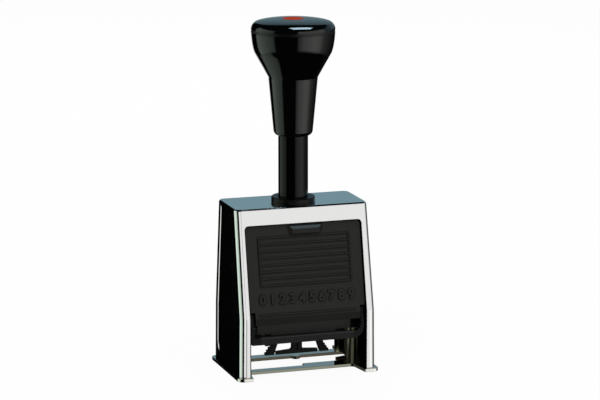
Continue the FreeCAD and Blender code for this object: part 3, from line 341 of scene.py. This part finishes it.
def chrome_finish(name, tint, smooth, wave, inside=None, edge=None, foot_edge_highlight=None):
    """Bright plating: near mirror, with faint wiping marks and a slight wave of the sheet.

    The faces that look into the machine and those that face down are painted dull, as painted
    shade. A plate's cut edges are dull, and brighter at its feet as a painted reflection.
    """
    smear_size = 9 * mm
    smear_limit = 0.56
    smear_roughness = 0.012
    smear_share = 0.97
    wiping_size = 0.5 * mm
    wiping_stretch = (1.0, 1.0, 0.12)
    wiping_roughness = 0.02
    ripple_size = 14 * mm
    ripple_depth = 0.2 * mm
    cut_roughness = 0.08
    inside_roughness = 0.2

    def inputs(graph):
        smears = graph.noise(smear_size, 3.0)
        wiping = graph.noise(wiping_size, 4.0, 0.6, wiping_stretch)
        smeared = smears.above(smear_limit) * smear_roughness
        roughness = smooth + smeared + wiping * wiping_roughness
        ripple = graph.noise(ripple_size, 1.0)
        shade = graph.mix(smears, colour(*tint), shaded(tint, smear_share))
        inward, level, under = graph.facings()
        # Cut edges are dull; their brighter colour at the plate's feet is a painted reflection.
        if edge:
            cut = graph.mix(graph.beyond(*plate_feet), colour(*edge), colour(*foot_edge_highlight))
            shade = graph.mix(1 - level, shade, cut)
            roughness = roughness + (1 - level) * cut_roughness
        # Painted shade on the faces that look into the machine and on those that face down.
        if inside:
            painted_inner_shade = inward * (1 - level) + under
            shade = graph.mix(painted_inner_shade, shade, colour(*inside))
            roughness = roughness + painted_inner_shade * inside_roughness
        return {"Base Color": shade, "Metallic": 1.0, "Roughness": roughness,
                "Normal": graph.bump(ripple, wave, ripple_depth, pressed_edge)}
    return finish(name, inputs)


def steel_finish(name, tint, rough, grain):
    """Bare steel with drawn grain and darker patches of oil."""
    grain_size = 0.35 * mm
    grain_roughness = 0.16
    grain_depth = 0.05 * mm
    oil_size = 6 * mm
    oil_share = 0.72

    def inputs(graph):
        drawn = graph.noise(grain_size, 5.0, 0.6, grain)
        oil = graph.noise(oil_size, 3.0)
        shade = graph.mix(oil, shaded(tint, oil_share), colour(*tint))
        return {"Base Color": shade, "Metallic": 1.0,
                "Roughness": rough + drawn * grain_roughness,
                "Normal": graph.bump(drawn, 0.12, grain_depth)}
    return finish(name, inputs)


def plastic_finish(name, tint, rough, gloss, grain_size, grain_depth, dust=0.0, edge=0.0,
                   arm_shade=None, shaded_below=None):
    """Moulded plastic with a fine grain, pale with wear on its faces, with painted shade in its
    hollows.

    What lies further out and higher than the given place is painted dark, as painted shade.
    Below the given height the tint is darker by the share that goes with it: painted shade, and
    on the pad carrier the end of its painted light.
    """
    wear_size = 7 * mm
    wear_roughness = 0.2
    grain_roughness = 0.08
    painted_hollow_shade = 0.0004
    painted_arm_shade = 0.0012

    def inputs(graph):
        grain = graph.noise(grain_size, 2.0)
        wear = graph.noise(wear_size, 4.0, 0.6)
        pale = colour(*[part + dust for part in tint])
        shade = graph.mix(wear, colour(*tint), pale)
        # Darker below the given height: painted shade, and on the carrier the end of its painted
        # light.
        if shaded_below:
            height, share = shaded_below
            shade = graph.mix(graph.below(height), shade, shaded(tint, share))
        # Painted shade in the hollows beside walls.
        if edge:
            shade = graph.mix(graph.hollows(hollow_reach), grey(painted_hollow_shade), shade)
        # Painted shade on what lies further out and higher than the given place.
        if arm_shade:
            shade = graph.mix(graph.beyond(*arm_shade), shade, grey(painted_arm_shade))
        return {"Base Color": shade,
                "Roughness": rough * (0.85 + wear * wear_roughness + grain * grain_roughness),
                "Specular IOR Level": gloss,
                "Normal": graph.bump(grain, 0.35, grain_depth, edge)}
    return finish(name, inputs)


def guide_finish(name):
    """Plated guide rail with upright streaks of oil, painted black near the top as painted shade.
    """
    streak_size = 0.8 * mm
    streak_stretch = (1.0, 1.0, 0.02)
    oil_and_shade = colour(0.035, 0.035, 0.026)
    plated = colour(0.62, 0.63, 0.42)

    def inputs(graph):
        streaks = graph.noise(streak_size, 2.0, 0.55, streak_stretch)
        # Black streaks below the height are oil; above it the rail is black as painted shade.
        clean_and_lit = graph.below(guide_shade_height) * streaks.ramp(0.5, 0.6)
        return {"Base Color": graph.mix(clean_and_lit, oil_and_shade, plated), "Metallic": 1.0,
                "Roughness": 0.3 + streaks * 0.08}
    return finish(name, inputs)


def brass_finish(name):
    """Machined brass, darkened by ink in patches."""
    turning_size = 0.25 * mm
    turning_stretch = (6.0, 1.0, 1.0)
    turning_depth = 0.04 * mm
    ink_size = 2.2 * mm
    ink_limit = 0.57
    brass = colour(0.60, 0.44, 0.20)
    inked = colour(0.10, 0.08, 0.07)

    def inputs(graph):
        turned = graph.noise(turning_size, 4.0, 0.6, turning_stretch)
        ink = graph.noise(ink_size, 4.0, 0.65)
        stained = graph.mix(ink.above(ink_limit), brass, inked)
        return {"Base Color": stained, "Metallic": 1.0, "Roughness": 0.28 + turned * 0.2,
                "Normal": graph.bump(turned, 0.1, turning_depth)}
    return finish(name, inputs)


def felt_finish(name):
    """Inked felt: short fibres, dark and slightly damp in patches."""
    fibre_size = 0.22 * mm
    fibre_depth = 0.18 * mm
    damp_size = 3.5 * mm
    soaked = colour(0.003, 0.003, 0.004)
    dry = colour(0.016, 0.016, 0.020)

    def inputs(graph):
        fibre = graph.noise(fibre_size, 6.0, 0.75)
        damp = graph.noise(damp_size, 3.0)
        return {"Base Color": graph.mix(fibre, soaked, dry), "Roughness": 0.92 - damp * 0.25,
                "Sheen Weight": 0.25, "Sheen Roughness": 0.5,
                "Normal": graph.bump(fibre, 0.9, fibre_depth)}
    return finish(name, inputs)


def rubber_finish(name):
    """Black rubber with a slightly uneven skin."""
    skin_size = 0.4 * mm
    skin_depth = 0.05 * mm

    def inputs(graph):
        skin = graph.noise(skin_size, 4.0)
        return {"Base Color": graph.mix(skin, grey(0.016), grey(0.03)),
                "Roughness": 0.72 + skin * 0.12, "Normal": graph.bump(skin, 0.4, skin_depth)}
    return finish(name, inputs)


def all_finishes():
    """One finish for each kind of surface on the machine."""
    bright = (0.83, 0.83, 0.83)
    steel = (0.56, 0.56, 0.57)
    black = (0.0006, 0.0006, 0.0006)
    # Painted shade for the chrome faces inside the machine.
    inner_shade_tint = (0.07, 0.07, 0.055)
    return {
        "shell_chrome": chrome_finish("shell_chrome", bright, 0.02, 0.008, inner_shade_tint),
        # The plate's inner faces get painted shade; its cut edges are dull, brighter at the feet
        # as a painted reflection.
        "plate_chrome": chrome_finish("plate_chrome", (0.68, 0.61, 0.56), 0.04, 0.015,
                                      (0.13, 0.11, 0.08), (0.27, 0.275, 0.22),
                                      (0.84, 0.83, 0.79)),
        "guide_chrome": guide_finish("guide_chrome"),
        "machined_steel": steel_finish("machined_steel", steel, 0.22, (0.15, 1.0, 1.0)),
        "spring_steel": steel_finish("spring_steel", (0.36, 0.37, 0.40), 0.25, (1.0, 1.0, 1.0)),
        "blackened_steel": steel_finish("blackened_steel", (0.05, 0.05, 0.048), 0.3,
                                        (0.15, 1.0, 1.0)),
        "blackened_tube": plastic_finish("blackened_tube", black, 0.06, 0.22,
                                         0.8 * mm, 0.0006 * mm),
        "knob_gloss": plastic_finish("knob_gloss", black, 0.07, 0.5, 0.6 * mm, 0.0006 * mm,
                                     0.0004),
        "seam_black": plastic_finish("seam_black", black, 0.42, 0.42, 0.4 * mm, 0.002 * mm),
        "collar_black": plastic_finish("collar_black", (0.0025, 0.0025, 0.0022), 0.34, 0.2,
                                       0.5 * mm, 0.004 * mm, 0.001, moulded_edge),
        "disc_red": plastic_finish("disc_red", (0.42, 0.034, 0.004), 0.5, 0.03,
                                   0.5 * mm, 0.005 * mm, 0.001),
        # The cover's foot gets painted shade.
        "cover_grey": plastic_finish("cover_grey", (0.0086, 0.0088, 0.0066), 0.5, 0.2,
                                     0.28 * mm, 0.02 * mm, 0.002, moulded_edge, None,
                                     (cover_foot_top, 0.45)),
        # Carrier tint painted lighter as painted light against the shade under the cover; its
        # beam stays darker.
        "carrier_black": plastic_finish("carrier_black", (0.0190, 0.0194, 0.0172), 0.5, 0.2,
                                        0.35 * mm, 0.02 * mm, 0.002, moulded_edge,
                                        arm_shade_place, (carrier_beam_top, 0.3)),
        "cartridge_black": plastic_finish("cartridge_black", (0.0034, 0.0036, 0.0030), 0.5,
                                          0.14, 0.35 * mm, 0.02 * mm, 0.001, moulded_edge),
        "shoe_black": plastic_finish("shoe_black", (0.008, 0.008, 0.007), 0.5, 0.25,
                                     0.35 * mm, 0.02 * mm, 0.003),
        "inked_brass": brass_finish("inked_brass"),
        "inked_felt": felt_finish("inked_felt"),
        "buffer_rubber": rubber_finish("buffer_rubber"),
    }


node_finishes = {
    "housing": "shell_chrome",
    "base_plate": "plate_chrome", "base_rivets": "machined_steel",
    "guide_right": "guide_chrome", "guide_left": "guide_chrome",
    "collar": "collar_black", "bush_nut": "machined_steel",
    "bridge": "machined_steel", "bridge_screws": "machined_steel",
    "spring_post": "machined_steel", "pivot_shaft": "blackened_steel",
    "pivot_bushes": "blackened_steel", "rear_cover": "cover_grey",
    "feed_cam": "machined_steel", "feed_cam_screw": "machined_steel",
    "front_cover": "cover_grey",
    "pad_carrier": "carrier_black", "ink_cartridge": "cartridge_black",
    "knob_disc": "disc_red",
    "knob_screw": "machined_steel", "plunger_tube": "blackened_tube",
    "buffer_washer": "buffer_rubber", "crosshead": "machined_steel",
    "cheek_right": "machined_steel", "cheek_left": "machined_steel",
    "cheek_screws": "machined_steel", "tie_rod": "machined_steel",
    "slide_shoes": "shoe_black", "wheel_shaft": "machined_steel",
    "shaft_nuts": "machined_steel", "shaft_spacer_right": "machined_steel",
    "shaft_spacer_left": "machined_steel", "drive_pins": "blackened_steel",
    "detent_bar": "machined_steel", "detent_comb": "spring_steel",
    "feed_lever": "machined_steel", "feed_pawl": "machined_steel",
}


def dress_nodes(finishes):
    """Gives each node of the frame that shows its finish."""
    wheels = {"number_wheel_%d" % (index + 1): "inked_brass" for index in range(wheel_count)}
    for node, name in {**node_finishes, **wheels}.items():
        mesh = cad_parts[node].data
        mesh.materials.clear()
        mesh.materials.append(finishes[name])


def add_piece(name, mesh, material, body, smooth=True):
    """A new object that rides on a body of the frame."""
    piece = bpy.data.objects.new(name, mesh)
    bpy.context.scene.collection.objects.link(piece)
    mesh.materials.clear()
    mesh.materials.append(material)
    for face in mesh.polygons:
        face.use_smooth = smooth
    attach(piece, body)
    return piece


def text_mesh(words, height, rise, bevel, weight=0.0):
    """Raised figures in the XY plane, centred, as a bmesh."""
    figure_share = 0.7
    weld = 0.002 * mm
    curve = bpy.data.curves.new("figures", "FONT")
    curve.body = words
    curve.size = height / figure_share
    curve.align_x = "CENTER"
    curve.align_y = "CENTER"
    curve.extrude = rise / 2 - bevel
    curve.bevel_depth = bevel
    curve.offset = weight
    curve.bevel_resolution = 1
    curve.resolution_u = 4
    holder = bpy.data.objects.new("figures", curve)
    bpy.context.scene.collection.objects.link(holder)
    mesh = bpy.data.meshes.new_from_object(holder.evaluated_get(
        bpy.context.evaluated_depsgraph_get()))
    shape = bmesh.new()
    shape.from_mesh(mesh)
    bmesh.ops.remove_doubles(shape, verts=shape.verts, dist=weld)
    bpy.data.objects.remove(holder)
    bpy.data.curves.remove(curve)
    bpy.data.meshes.remove(mesh)
    return shape


def centre(shape):
    """Puts the middle of a shape's XY box at the origin."""
    xs = [point.co.x for point in shape.verts]
    ys = [point.co.y for point in shape.verts]
    shift = Vector(((min(xs) + max(xs)) / 2, (min(ys) + max(ys)) / 2, 0))
    bmesh.ops.translate(shape, verts=shape.verts, vec=-shift)


def joined(shapes):
    """One bmesh from several."""
    whole = bmesh.new()
    for shape in shapes:
        mesh = bpy.data.meshes.new("part")
        shape.to_mesh(mesh)
        shape.free()
        whole.from_mesh(mesh)
        bpy.data.meshes.remove(mesh)
    return whole


def to_mesh(name, shape):
    mesh = bpy.data.meshes.new(name)
    bmesh.ops.recalc_face_normals(shape, faces=shape.faces)
    shape.to_mesh(mesh)
    shape.free()
    return mesh


def bar(size, bevel):
    """Box with softened edges, centred on the origin."""
    shape = bmesh.new()
    bmesh.ops.create_cube(shape, size=1.0)
    bmesh.ops.scale(shape, verts=shape.verts, vec=size)
    bmesh.ops.bevel(shape, geom=list(shape.edges), offset=bevel, segments=2, affect="EDGES",
                    profile=0.5)
    return shape


def cover_place(across, up, out):
    """Matrix that lays a flat shape on the leaning part of the front cover."""
    lean = Matrix.Rotation(math.pi / 2 - cover_lean, 4, "X")
    origin = Vector((0, cover_front, bend_height))
    offset = lean @ Vector((across, up, out))
    return Matrix.Translation(origin + offset) @ lean


def make_cover_relief(finishes):
    """Raised border, ribs and a row of figures moulded on the front cover."""
    rise = 0.5 * mm
    sink = 0.1 * mm
    rib = 0.5 * mm
    bevel = 0.09 * mm
    panel_half = 23.6 * mm
    panel_foot = 15.8 * mm
    panel_top = 39.6 * mm
    rib_count = 8
    figure_middle = 9.0 * mm
    figure_size = 4.6 * mm
    figure_weight = 0.2 * mm
    figure_edge = 0.07 * mm
    figure_widening = 1.05
    pitch = 5.15 * mm
    ridge_height = 32.5 * mm
    ridge_half = 25.6 * mm
    shapes = []

    def lay(shape, across, up):
        shape.transform(cover_place(across, up, (rise - sink) / 2))
        shapes.append(shape)

    panel_height = panel_top - panel_foot
    for side in (-1, 1):
        upright = bar((rib, panel_height + rib, rise + sink), bevel)
        lay(upright, side * panel_half, panel_foot + panel_height / 2)
    for index in range(rib_count):
        up = panel_foot + panel_height * index / (rib_count - 1)
        lay(bar((2 * panel_half, rib, rise + sink), bevel), 0, up)
    for figure in range(figure_count):
        digit = text_mesh(str(figure), figure_size, rise + sink, figure_edge, figure_weight)
        centre(digit)
        bmesh.ops.scale(digit, verts=digit.verts, vec=(figure_widening, 1.0, 1.0))
        lay(digit, (figure - (figure_count - 1) / 2) * pitch, figure_middle)
    up = (ridge_height - bend_height) / math.cos(cover_lean)
    lay(bar((2 * ridge_half, rib, rise + sink), bevel), 0, up)
    mesh = to_mesh("cover_relief", joined(shapes))
    piece = add_piece("cover_relief", mesh, finishes["cover_grey"], "front_cover", False)
    return piece


def make_carrier_webs(finishes):
    """Dark webs under the pad carrier's cranks, one on each side, standing in for shade in the
    gap there.
    """
    shape = bmesh.new()
    for side in (-1, 1):
        inner, outer = [[shape.verts.new((side * across, y * mm, z * mm)) for y, z in web_outline]
                        for across in web_reach]
        shape.faces.new(inner)
        shape.faces.new(reversed(outer))
        for index in range(len(web_outline)):
            after = (index + 1) % len(web_outline)
            shape.faces.new((inner[index], inner[after], outer[after], outer[index]))
    mesh = to_mesh("carrier_shade_webs", shape)
    piece = add_piece("carrier_shade_webs", mesh, finishes["carrier_black"], "pad_carrier", False)


def wheel_axis():
    """Middle of the wheel shaft, from the frame."""
    low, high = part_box("wheel_shaft")
    return (low + high) / 2


def make_wheel_figures(finishes):
    """Raised figures on the blocks of each wheel, reversed as type is."""
    axis = wheel_axis()
    for index in range(wheel_count):
        node = "number_wheel_%d" % (index + 1)
        low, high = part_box(node)
        middle = low.x + block_width / 2
        shapes = []
        for figure in range(figure_count):
            rise = figure_rise + figure_sink
            digit = text_mesh(str(figure), figure_height, rise, figure_bevel)
            centre(digit)
            bmesh.ops.scale(digit, verts=digit.verts, vec=(-figure_narrowing, 1.0, 1.0))
            out = high.z - axis.z + (figure_rise - figure_sink) / 2
            digit.transform(Matrix.Translation((0, 0, out)))
            turn = Matrix.Rotation(2 * math.pi * figure / figure_count, 4, "X")
            digit.transform(turn)
            digit.transform(Matrix.Translation((middle, axis.y, axis.z)))
            shapes.append(digit)
        name = "wheel_figures_%d" % (index + 1)
        mesh = to_mesh(name, joined(shapes))
        piece = add_piece(name, mesh, finishes["inked_brass"], node, False)


def smooth_points(stretch, per_span):
    """Points of a smooth curve through a stretch's points."""
    if len(stretch) < 3:
        return [Vector(point) for point in stretch]
    ends = [Vector(point) for point in stretch]
    ends = [2 * ends[0] - ends[1]] + ends + [2 * ends[-1] - ends[-2]]
    made = []
    for before, start, end, after in zip(ends, ends[1:], ends[2:], ends[3:]):
        for step in range(per_span):
            t = step / per_span
            made.append(0.5 * (2 * start + t * (end - before)
                               + t ** 2 * (2 * before - 5 * start + 4 * end - after)
                               + t ** 3 * (3 * start - before - 3 * end + after)))
    return made + [ends[-2]]


def turned_mesh(name, stretches, axis):
    """Closed solid turned about an upright axis, crisp where its stretches meet."""
    shape = bmesh.new()
    outline = []
    crisp = []
    for stretch in stretches:
        crisp.append(len(outline))
        outline += stretch[:-1]
    rings = []
    for radius, height in outline:
        ring = []
        for step in range(knob_segments):
            turn = 2 * math.pi * step / knob_segments
            ring.append(shape.verts.new((axis.x + radius * math.cos(turn),
                                         axis.y + radius * math.sin(turn), height)))
        rings.append(ring)
    for index, ring in enumerate(rings):
        following = rings[(index + 1) % len(rings)]
        for step in range(knob_segments):
            after = (step + 1) % knob_segments
            shape.faces.new((ring[step], ring[after], following[after], following[step]))
    for index in crisp:
        for step in range(knob_segments):
            ends = (rings[index][step], rings[index][(step + 1) % knob_segments])
            shape.edges.get(ends).smooth = False
    return to_mesh(name, shape)


def make_knob(finishes):
    """Grip, seam and cap of the palm knob, turned smooth."""
    low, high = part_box("knob_body")
    cap_low, cap_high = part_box("knob_crown")
    screw_low, screw_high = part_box("knob_screw")
    tube_low, tube_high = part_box("plunger_tube")
    disc_low, disc_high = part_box("knob_disc")
    axis = (tube_low + tube_high) / 2
    radius = (cap_high.x - cap_low.x) / 2
    height = (cap_high.z - low.z) / cap_shares[-1][-1][1]
    gap = knob_gap

    def turned_piece(name, shares, inside, material, *nodes):
        outline = []
        for stretch in shares:
            points = smooth_points(stretch, points_per_stretch)
            outline.append([(min(share.x, 1.0) * radius, low.z + share.y * height)
                            for share in points])
        back = [outline[-1][-1]] + inside + [outline[0][0]]
        closing = [[first, second] for first, second in zip(back, back[1:])]
        mesh = turned_mesh(name, outline + closing, axis)
        piece = add_piece(name, mesh, finishes[material], "plunger")
        for node in nodes:
            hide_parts(node)
        return piece

    socket = (tube_high.x - tube_low.x) / 2 + gap
    head = (screw_high.x - screw_low.x) / 2 + gap
    step = tube_high.z + gap
    grip_top = low.z + grip_shares[-1][-1][1] * height
    grip = turned_piece("knob_grip", grip_shares,
                        [(head, grip_top), (head, step), (socket, step), (socket, low.z)],
                        "knob_gloss", "knob_body")
    seat = (disc_high.x - disc_low.x) / 2 + gap
    seat_height = disc_low.z - gap
    cap_foot = low.z + cap_shares[0][0][1] * height
    cap = turned_piece("knob_cap", cap_shares,
                       [(seat, cap_high.z), (seat, seat_height), (gap, seat_height),
                        (gap, cap_foot)], "knob_gloss", "knob_crown")
    seam = turned_piece("knob_seam", seam_shares, [], "seam_black")
    return [grip, cap, seam]


def tube_along(points, radius, ring):
    """Round wire along points, closed at both ends."""
    shape = bmesh.new()
    rows = []
    side = Vector((0, 0, 1))
    for index, point in enumerate(points):
        ahead = points[min(index + 1, len(points) - 1)] - points[max(index - 1, 0)]
        ahead.normalize()
        across = ahead.cross(side).normalized()
        up = across.cross(ahead)
        row = []
        for step in range(ring):
            turn = 2 * math.pi * step / ring
            row.append(shape.verts.new(point + radius * (
                math.cos(turn) * across + math.sin(turn) * up)))
        rows.append(row)
    for row, following in zip(rows, rows[1:]):
        for step in range(ring):
            after = (step + 1) % ring
            shape.faces.new((row[step], row[after], following[after], following[step]))
    shape.faces.new(reversed(rows[0]))
    shape.faces.new(rows[-1])
    return shape


def make_spring(finishes):
    """Compression spring with closed end turns."""
    low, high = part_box("return_spring")
    middle = (low + high) / 2
    foot = low.z + spring_wire_radius
    top = high.z - spring_wire_radius
    closed = spring_closed_turns
    open_turns = spring_turns - 2 * closed
    open_height = top - foot - 2 * closed * spring_closed_pitch
    points = []
    for step in range(spring_turns * spring_steps_per_turn + 1):
        turns = step / spring_steps_per_turn
        near_foot = min(turns, closed) * spring_closed_pitch
        near_top = max(turns - (spring_turns - closed), 0) * spring_closed_pitch
        share = (min(max(turns, closed), spring_turns - closed) - closed) / open_turns
        height = foot + near_foot + near_top + share * open_height
        angle = 2 * math.pi * turns
        points.append(Vector((middle.x + spring_mean_radius * math.cos(angle),
                              middle.y + spring_mean_radius * math.sin(angle), height)))
    mesh = to_mesh("coil_spring", tube_along(points, spring_wire_radius, spring_ring_points))
    piece = add_piece("coil_spring", mesh, finishes["spring_steel"], "frame")
    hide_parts("return_spring")
    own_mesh(piece)


def make_felt(finishes):
    """Inked pad: a felt block with soft edges and a slightly crowned, worn top."""
    low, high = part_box("ink_felt")
    size = high - low
    shape = bmesh.new()
    grid = []
    for row in range(felt_rows + 1):
        line = []
        for column in range(felt_columns + 1):
            x = low.x + size.x * column / felt_columns
            y = low.y + size.y * row / felt_rows
            edge = min(x - low.x, high.x - x, y - low.y, high.y - y) / felt_edge_width
            fall = felt_edge_fall * max(0.0, 1 - edge) ** 2
            wave = math.sin(x * felt_waves[0]) * math.sin(y * felt_waves[1])
            line.append(shape.verts.new((x, y, high.z - fall - felt_wear * (1 + wave))))
        grid.append(line)
    for lower, upper in zip(grid, grid[1:]):
        for column in range(felt_columns):
            shape.faces.new((lower[column], lower[column + 1], upper[column + 1],
                             upper[column]))
    rim = [edge for edge in shape.edges if edge.is_boundary]
    made = bmesh.ops.extrude_edge_only(shape, edges=rim)
    skirt = [item for item in made["geom"] if isinstance(item, bmesh.types.BMVert)]
    for point in skirt:
        point.co.z = low.z
    bmesh.ops.holes_fill(shape, edges=[edge for edge in shape.edges if edge.is_boundary])
    piece = add_piece("felt_pad", to_mesh("felt_pad", shape), finishes["inked_felt"],
                      "pad_carrier")
    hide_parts("ink_felt")


def make_camera():
    azimuth = math.radians(camera_azimuth)
    elevation = math.radians(camera_elevation)
    back = Vector((-math.sin(azimuth) * math.cos(elevation),
                   -math.cos(azimuth) * math.cos(elevation), math.sin(elevation)))
    data = bpy.data.cameras.new("camera")
    data.lens = camera_lens
    data.sensor_width = sensor_width
    data.clip_start, data.clip_end = camera_clip
    camera = bpy.data.objects.new("camera", data)
    camera.location = camera_target + back * camera_distance
    camera.rotation_mode = "QUATERNION"
    camera.rotation_quaternion = (-back).to_track_quat("-Z", "Y")
    bpy.context.scene.collection.objects.link(camera)
    bpy.context.scene.camera = camera


# What bright metal mirrors. Each wall of the studio is a list of (turn about the machine in
# degrees, colour): 0 is in front of it, 90 to its right. Pale screens stand to the left and
# the right, with black cloths between them, and a blue-grey screen hangs high up behind.
black = (0.0012, 0.0012, 0.0012)
left_shades = [(-137, (0.72, 0.86, 0.75)), (-124, (0.84, 0.98, 0.86)), (-106, (0.78, 0.91, 0.80)),
               (-91, (0.62, 0.76, 0.64)), (-76, (0.50, 0.61, 0.52))]
right_shades = [(-2, (0.36, 0.36, 0.35)), (5, (0.60, 0.60, 0.59)), (15, (0.90, 0.90, 0.89)),
                (27, (1.02, 1.02, 1.0)), (44, (1.25, 1.25, 1.22)), (58, (1.08, 1.08, 1.05)),
                (67, (0.84, 0.84, 0.82)), (75, (0.43, 0.43, 0.42)), (84, (0.25, 0.25, 0.24)),
                (104, (0.08, 0.08, 0.08)), (122, (0.02, 0.02, 0.02))]
right_screen = (0.95, 0.945, 0.94)
back_screen = (0.19, 0.305, 0.355)
far_glow = (0.85, 0.86, 0.84)
level_walls = [(-180, far_glow), (-178.6, far_glow), (-177, black), (-141, black)]
level_walls += left_shades
level_walls += [(-69, black), (-6, black)]
level_walls += right_shades
level_walls += [(150, black), (154, (0.22, 0.22, 0.22)), (166, (0.60, 0.61, 0.60)),
                (177, far_glow), (180, far_glow)]
high_walls = [
    (-180, black), (-141, black), *left_shades, (-69, black), (-7, black), (0, right_screen),
    (72, right_screen), (84, back_screen), (174, back_screen), (178, black), (180, black)]
low_walls = [
    (-180, black), (-158, black), (-150, (0.42, 0.50, 0.44)), (-130, (0.50, 0.60, 0.52)),
    (-96, (0.42, 0.49, 0.43)), (-87, black), (180, black)]


# Slopes of a ray between which the high walls, the low walls and the black ceiling begin.
high_start = (-0.02, 0.06)
low_start = (-0.47, -0.56)
ceiling_start = (0.48, 0.56)


def make_world():
    """Plain even light, white behind the machine, and a quiet studio mirrored in bright metal."""
    world = bpy.data.worlds.new("studio")
    bpy.context.scene.world = world
    graph = Graph(world)
    ray = graph.node("ShaderNodeTexCoord")
    x, y, z = graph.split(graph.out(ray, "Generated"))
    around = graph.node("ShaderNodeMath", {"operation": "ARCTAN2"}, {0: x, 1: 0.0 - y})
    turn = graph.out(around, 0) / (2 * math.pi) + 0.5

    def walls(places):
        stops = [((place + 180) / 360, colour(*shade)) for place, shade in places]
        return graph.out(graph.node("ShaderNodeValToRGB", {"stops": stops}, {"Fac": turn}), 0)

    mirrored = graph.mix(z.ramp(*high_start), walls(level_walls), walls(high_walls))
    mirrored = graph.mix(z.ramp(*low_start), mirrored, walls(low_walls))
    mirrored = graph.mix(z.ramp(*ceiling_start), mirrored, colour(*black))
    path = graph.node("ShaderNodeLightPath")
    seen = graph.out(path, "Is Camera Ray")
    glossy = graph.out(path, "Is Glossy Ray")
    plain = graph.mix(seen, grey(room_level), grey(backdrop_level))
    light = graph.mix(glossy, plain, mirrored)
    sky_light = graph.node("ShaderNodeBackground", {}, {"Color": light, "Strength": 1.0})
    graph.node("ShaderNodeOutputWorld", {}, {"Surface": graph.out(sky_light, 0)})
    world.cycles.sampling_method = "NONE"


def add_lamp(name, place, size, watts, ahead=None):
    """Rectangular lamp that shines down, or ahead where that is given."""
    data = bpy.data.lights.new(name, "AREA")
    data.shape = "RECTANGLE"
    data.size, data.size_y = size
    data.energy = watts
    lamp = bpy.data.objects.new(name, data)
    lamp.location = place
    if ahead:
        lamp.rotation_mode = "QUATERNION"
        lamp.rotation_quaternion = ahead.to_track_quat("-Z", "Y")
    bpy.context.scene.collection.objects.link(lamp)
    return lamp


def panel_watts(level, size):
    """Power that gives a rectangular lamp a brightness, 1 being white."""
    return level * math.pi * size[0] * size[1]


def light_only(lamp, name, pieces):
    """Keeps a lamp's light to some pieces."""
    lit = bpy.data.collections.new(name)
    for piece in pieces:
        lit.objects.link(piece)
    lamp.light_linking.receiver_collection = lit


def make_lamps():
    """Large soft lamps that light everything."""
    for name, place, aim, size, watts in lamps:
        lamp = add_lamp(name, place, (size, size), watts, aim - place)
        lamp.visible_glossy = False


# Overhead lamp that lights only the moulded parts, as a place over the knob and a size.
overhead_place = Vector((0.112, -0.112, 0.5))
overhead_size = (0.345, 0.22)
overhead_tint = (0.63, 0.87, 1.0)
overhead_level = 15.0


def make_overhead(pieces):
    """Bluish lamp over the knob, whose mirror image is the bright streak on its rim."""
    place = Vector((0, 0, cad_box[1][2])) + overhead_place
    watts = panel_watts(overhead_level, overhead_size)
    lamp = add_lamp("overhead", place, overhead_size, watts)
    lamp.data.color = overhead_tint
    light_only(lamp, "moulded_parts", pieces)


# Pale screens that only the chrome shell mirrors, as (turn about the machine in degrees,
# spread in degrees, brightness). They stand further away than the camera.
shell_screens = [(-24, 32, 0.95), (138, 20, 0.4)]
screen_distance = 2.2
screen_height = 2.2
screen_middle = 0.05


def make_shell_screens(shell):
    """Screens at the front left and the back right, mirrored by the shell alone."""
    for turn, spread, level in shell_screens:
        angle = math.radians(turn)
        outward = Vector((math.sin(angle), -math.cos(angle), 0))
        place = outward * screen_distance + Vector((0, 0, screen_middle))
        width = 2 * screen_distance * math.tan(math.radians(spread / 2))
        size = (width, screen_height)
        screen = add_lamp("shell_screen", place, size, panel_watts(level, size), -outward)
        screen.visible_camera = False
        light_only(screen, "shell_parts", [shell])


def make_floor():
    """Pale floor that keeps the machine's soft shadow."""
    material = bpy.data.materials.new("pale_floor")
    graph = Graph(material)
    paper = graph.node("ShaderNodeBsdfDiffuse", {}, {"Color": grey(floor_shade)})
    white = graph.node("ShaderNodeEmission", {}, {"Color": grey(1.0), "Strength": 1.0})
    path = graph.node("ShaderNodeLightPath")
    share = graph.out(path, "Is Camera Ray") * floor_glow
    both = graph.node("ShaderNodeMixShader", {}, {0: share, 1: graph.out(paper, 0),
                                                  2: graph.out(white, 0)})
    graph.node("ShaderNodeOutputMaterial", {}, {"Surface": graph.out(both, 0)})
    shape = bmesh.new()
    bmesh.ops.create_grid(shape, x_segments=1, y_segments=1, size=floor_reach)
    mesh = to_mesh("floor", shape)
    mesh.materials.append(material)
    floor = bpy.data.objects.new("floor", mesh)
    floor.location.z = -floor_gap
    floor.visible_glossy = False
    bpy.context.scene.collection.objects.link(floor)


def main():
    bpy.context.scene.view_settings.view_transform = "Standard"
    finishes = all_finishes()
    dress_nodes(finishes)
    relief = make_cover_relief(finishes)
    make_carrier_webs(finishes)
    make_wheel_figures(finishes)
    knob = make_knob(finishes)
    make_spring(finishes)
    make_felt(finishes)
    make_camera()
    make_world()
    nodes = [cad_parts[name] for name in ("front_cover", "pad_carrier")]
    make_overhead(knob + [relief] + nodes)
    make_shell_screens(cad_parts["housing"])
    make_lamps()
    make_floor()


main()
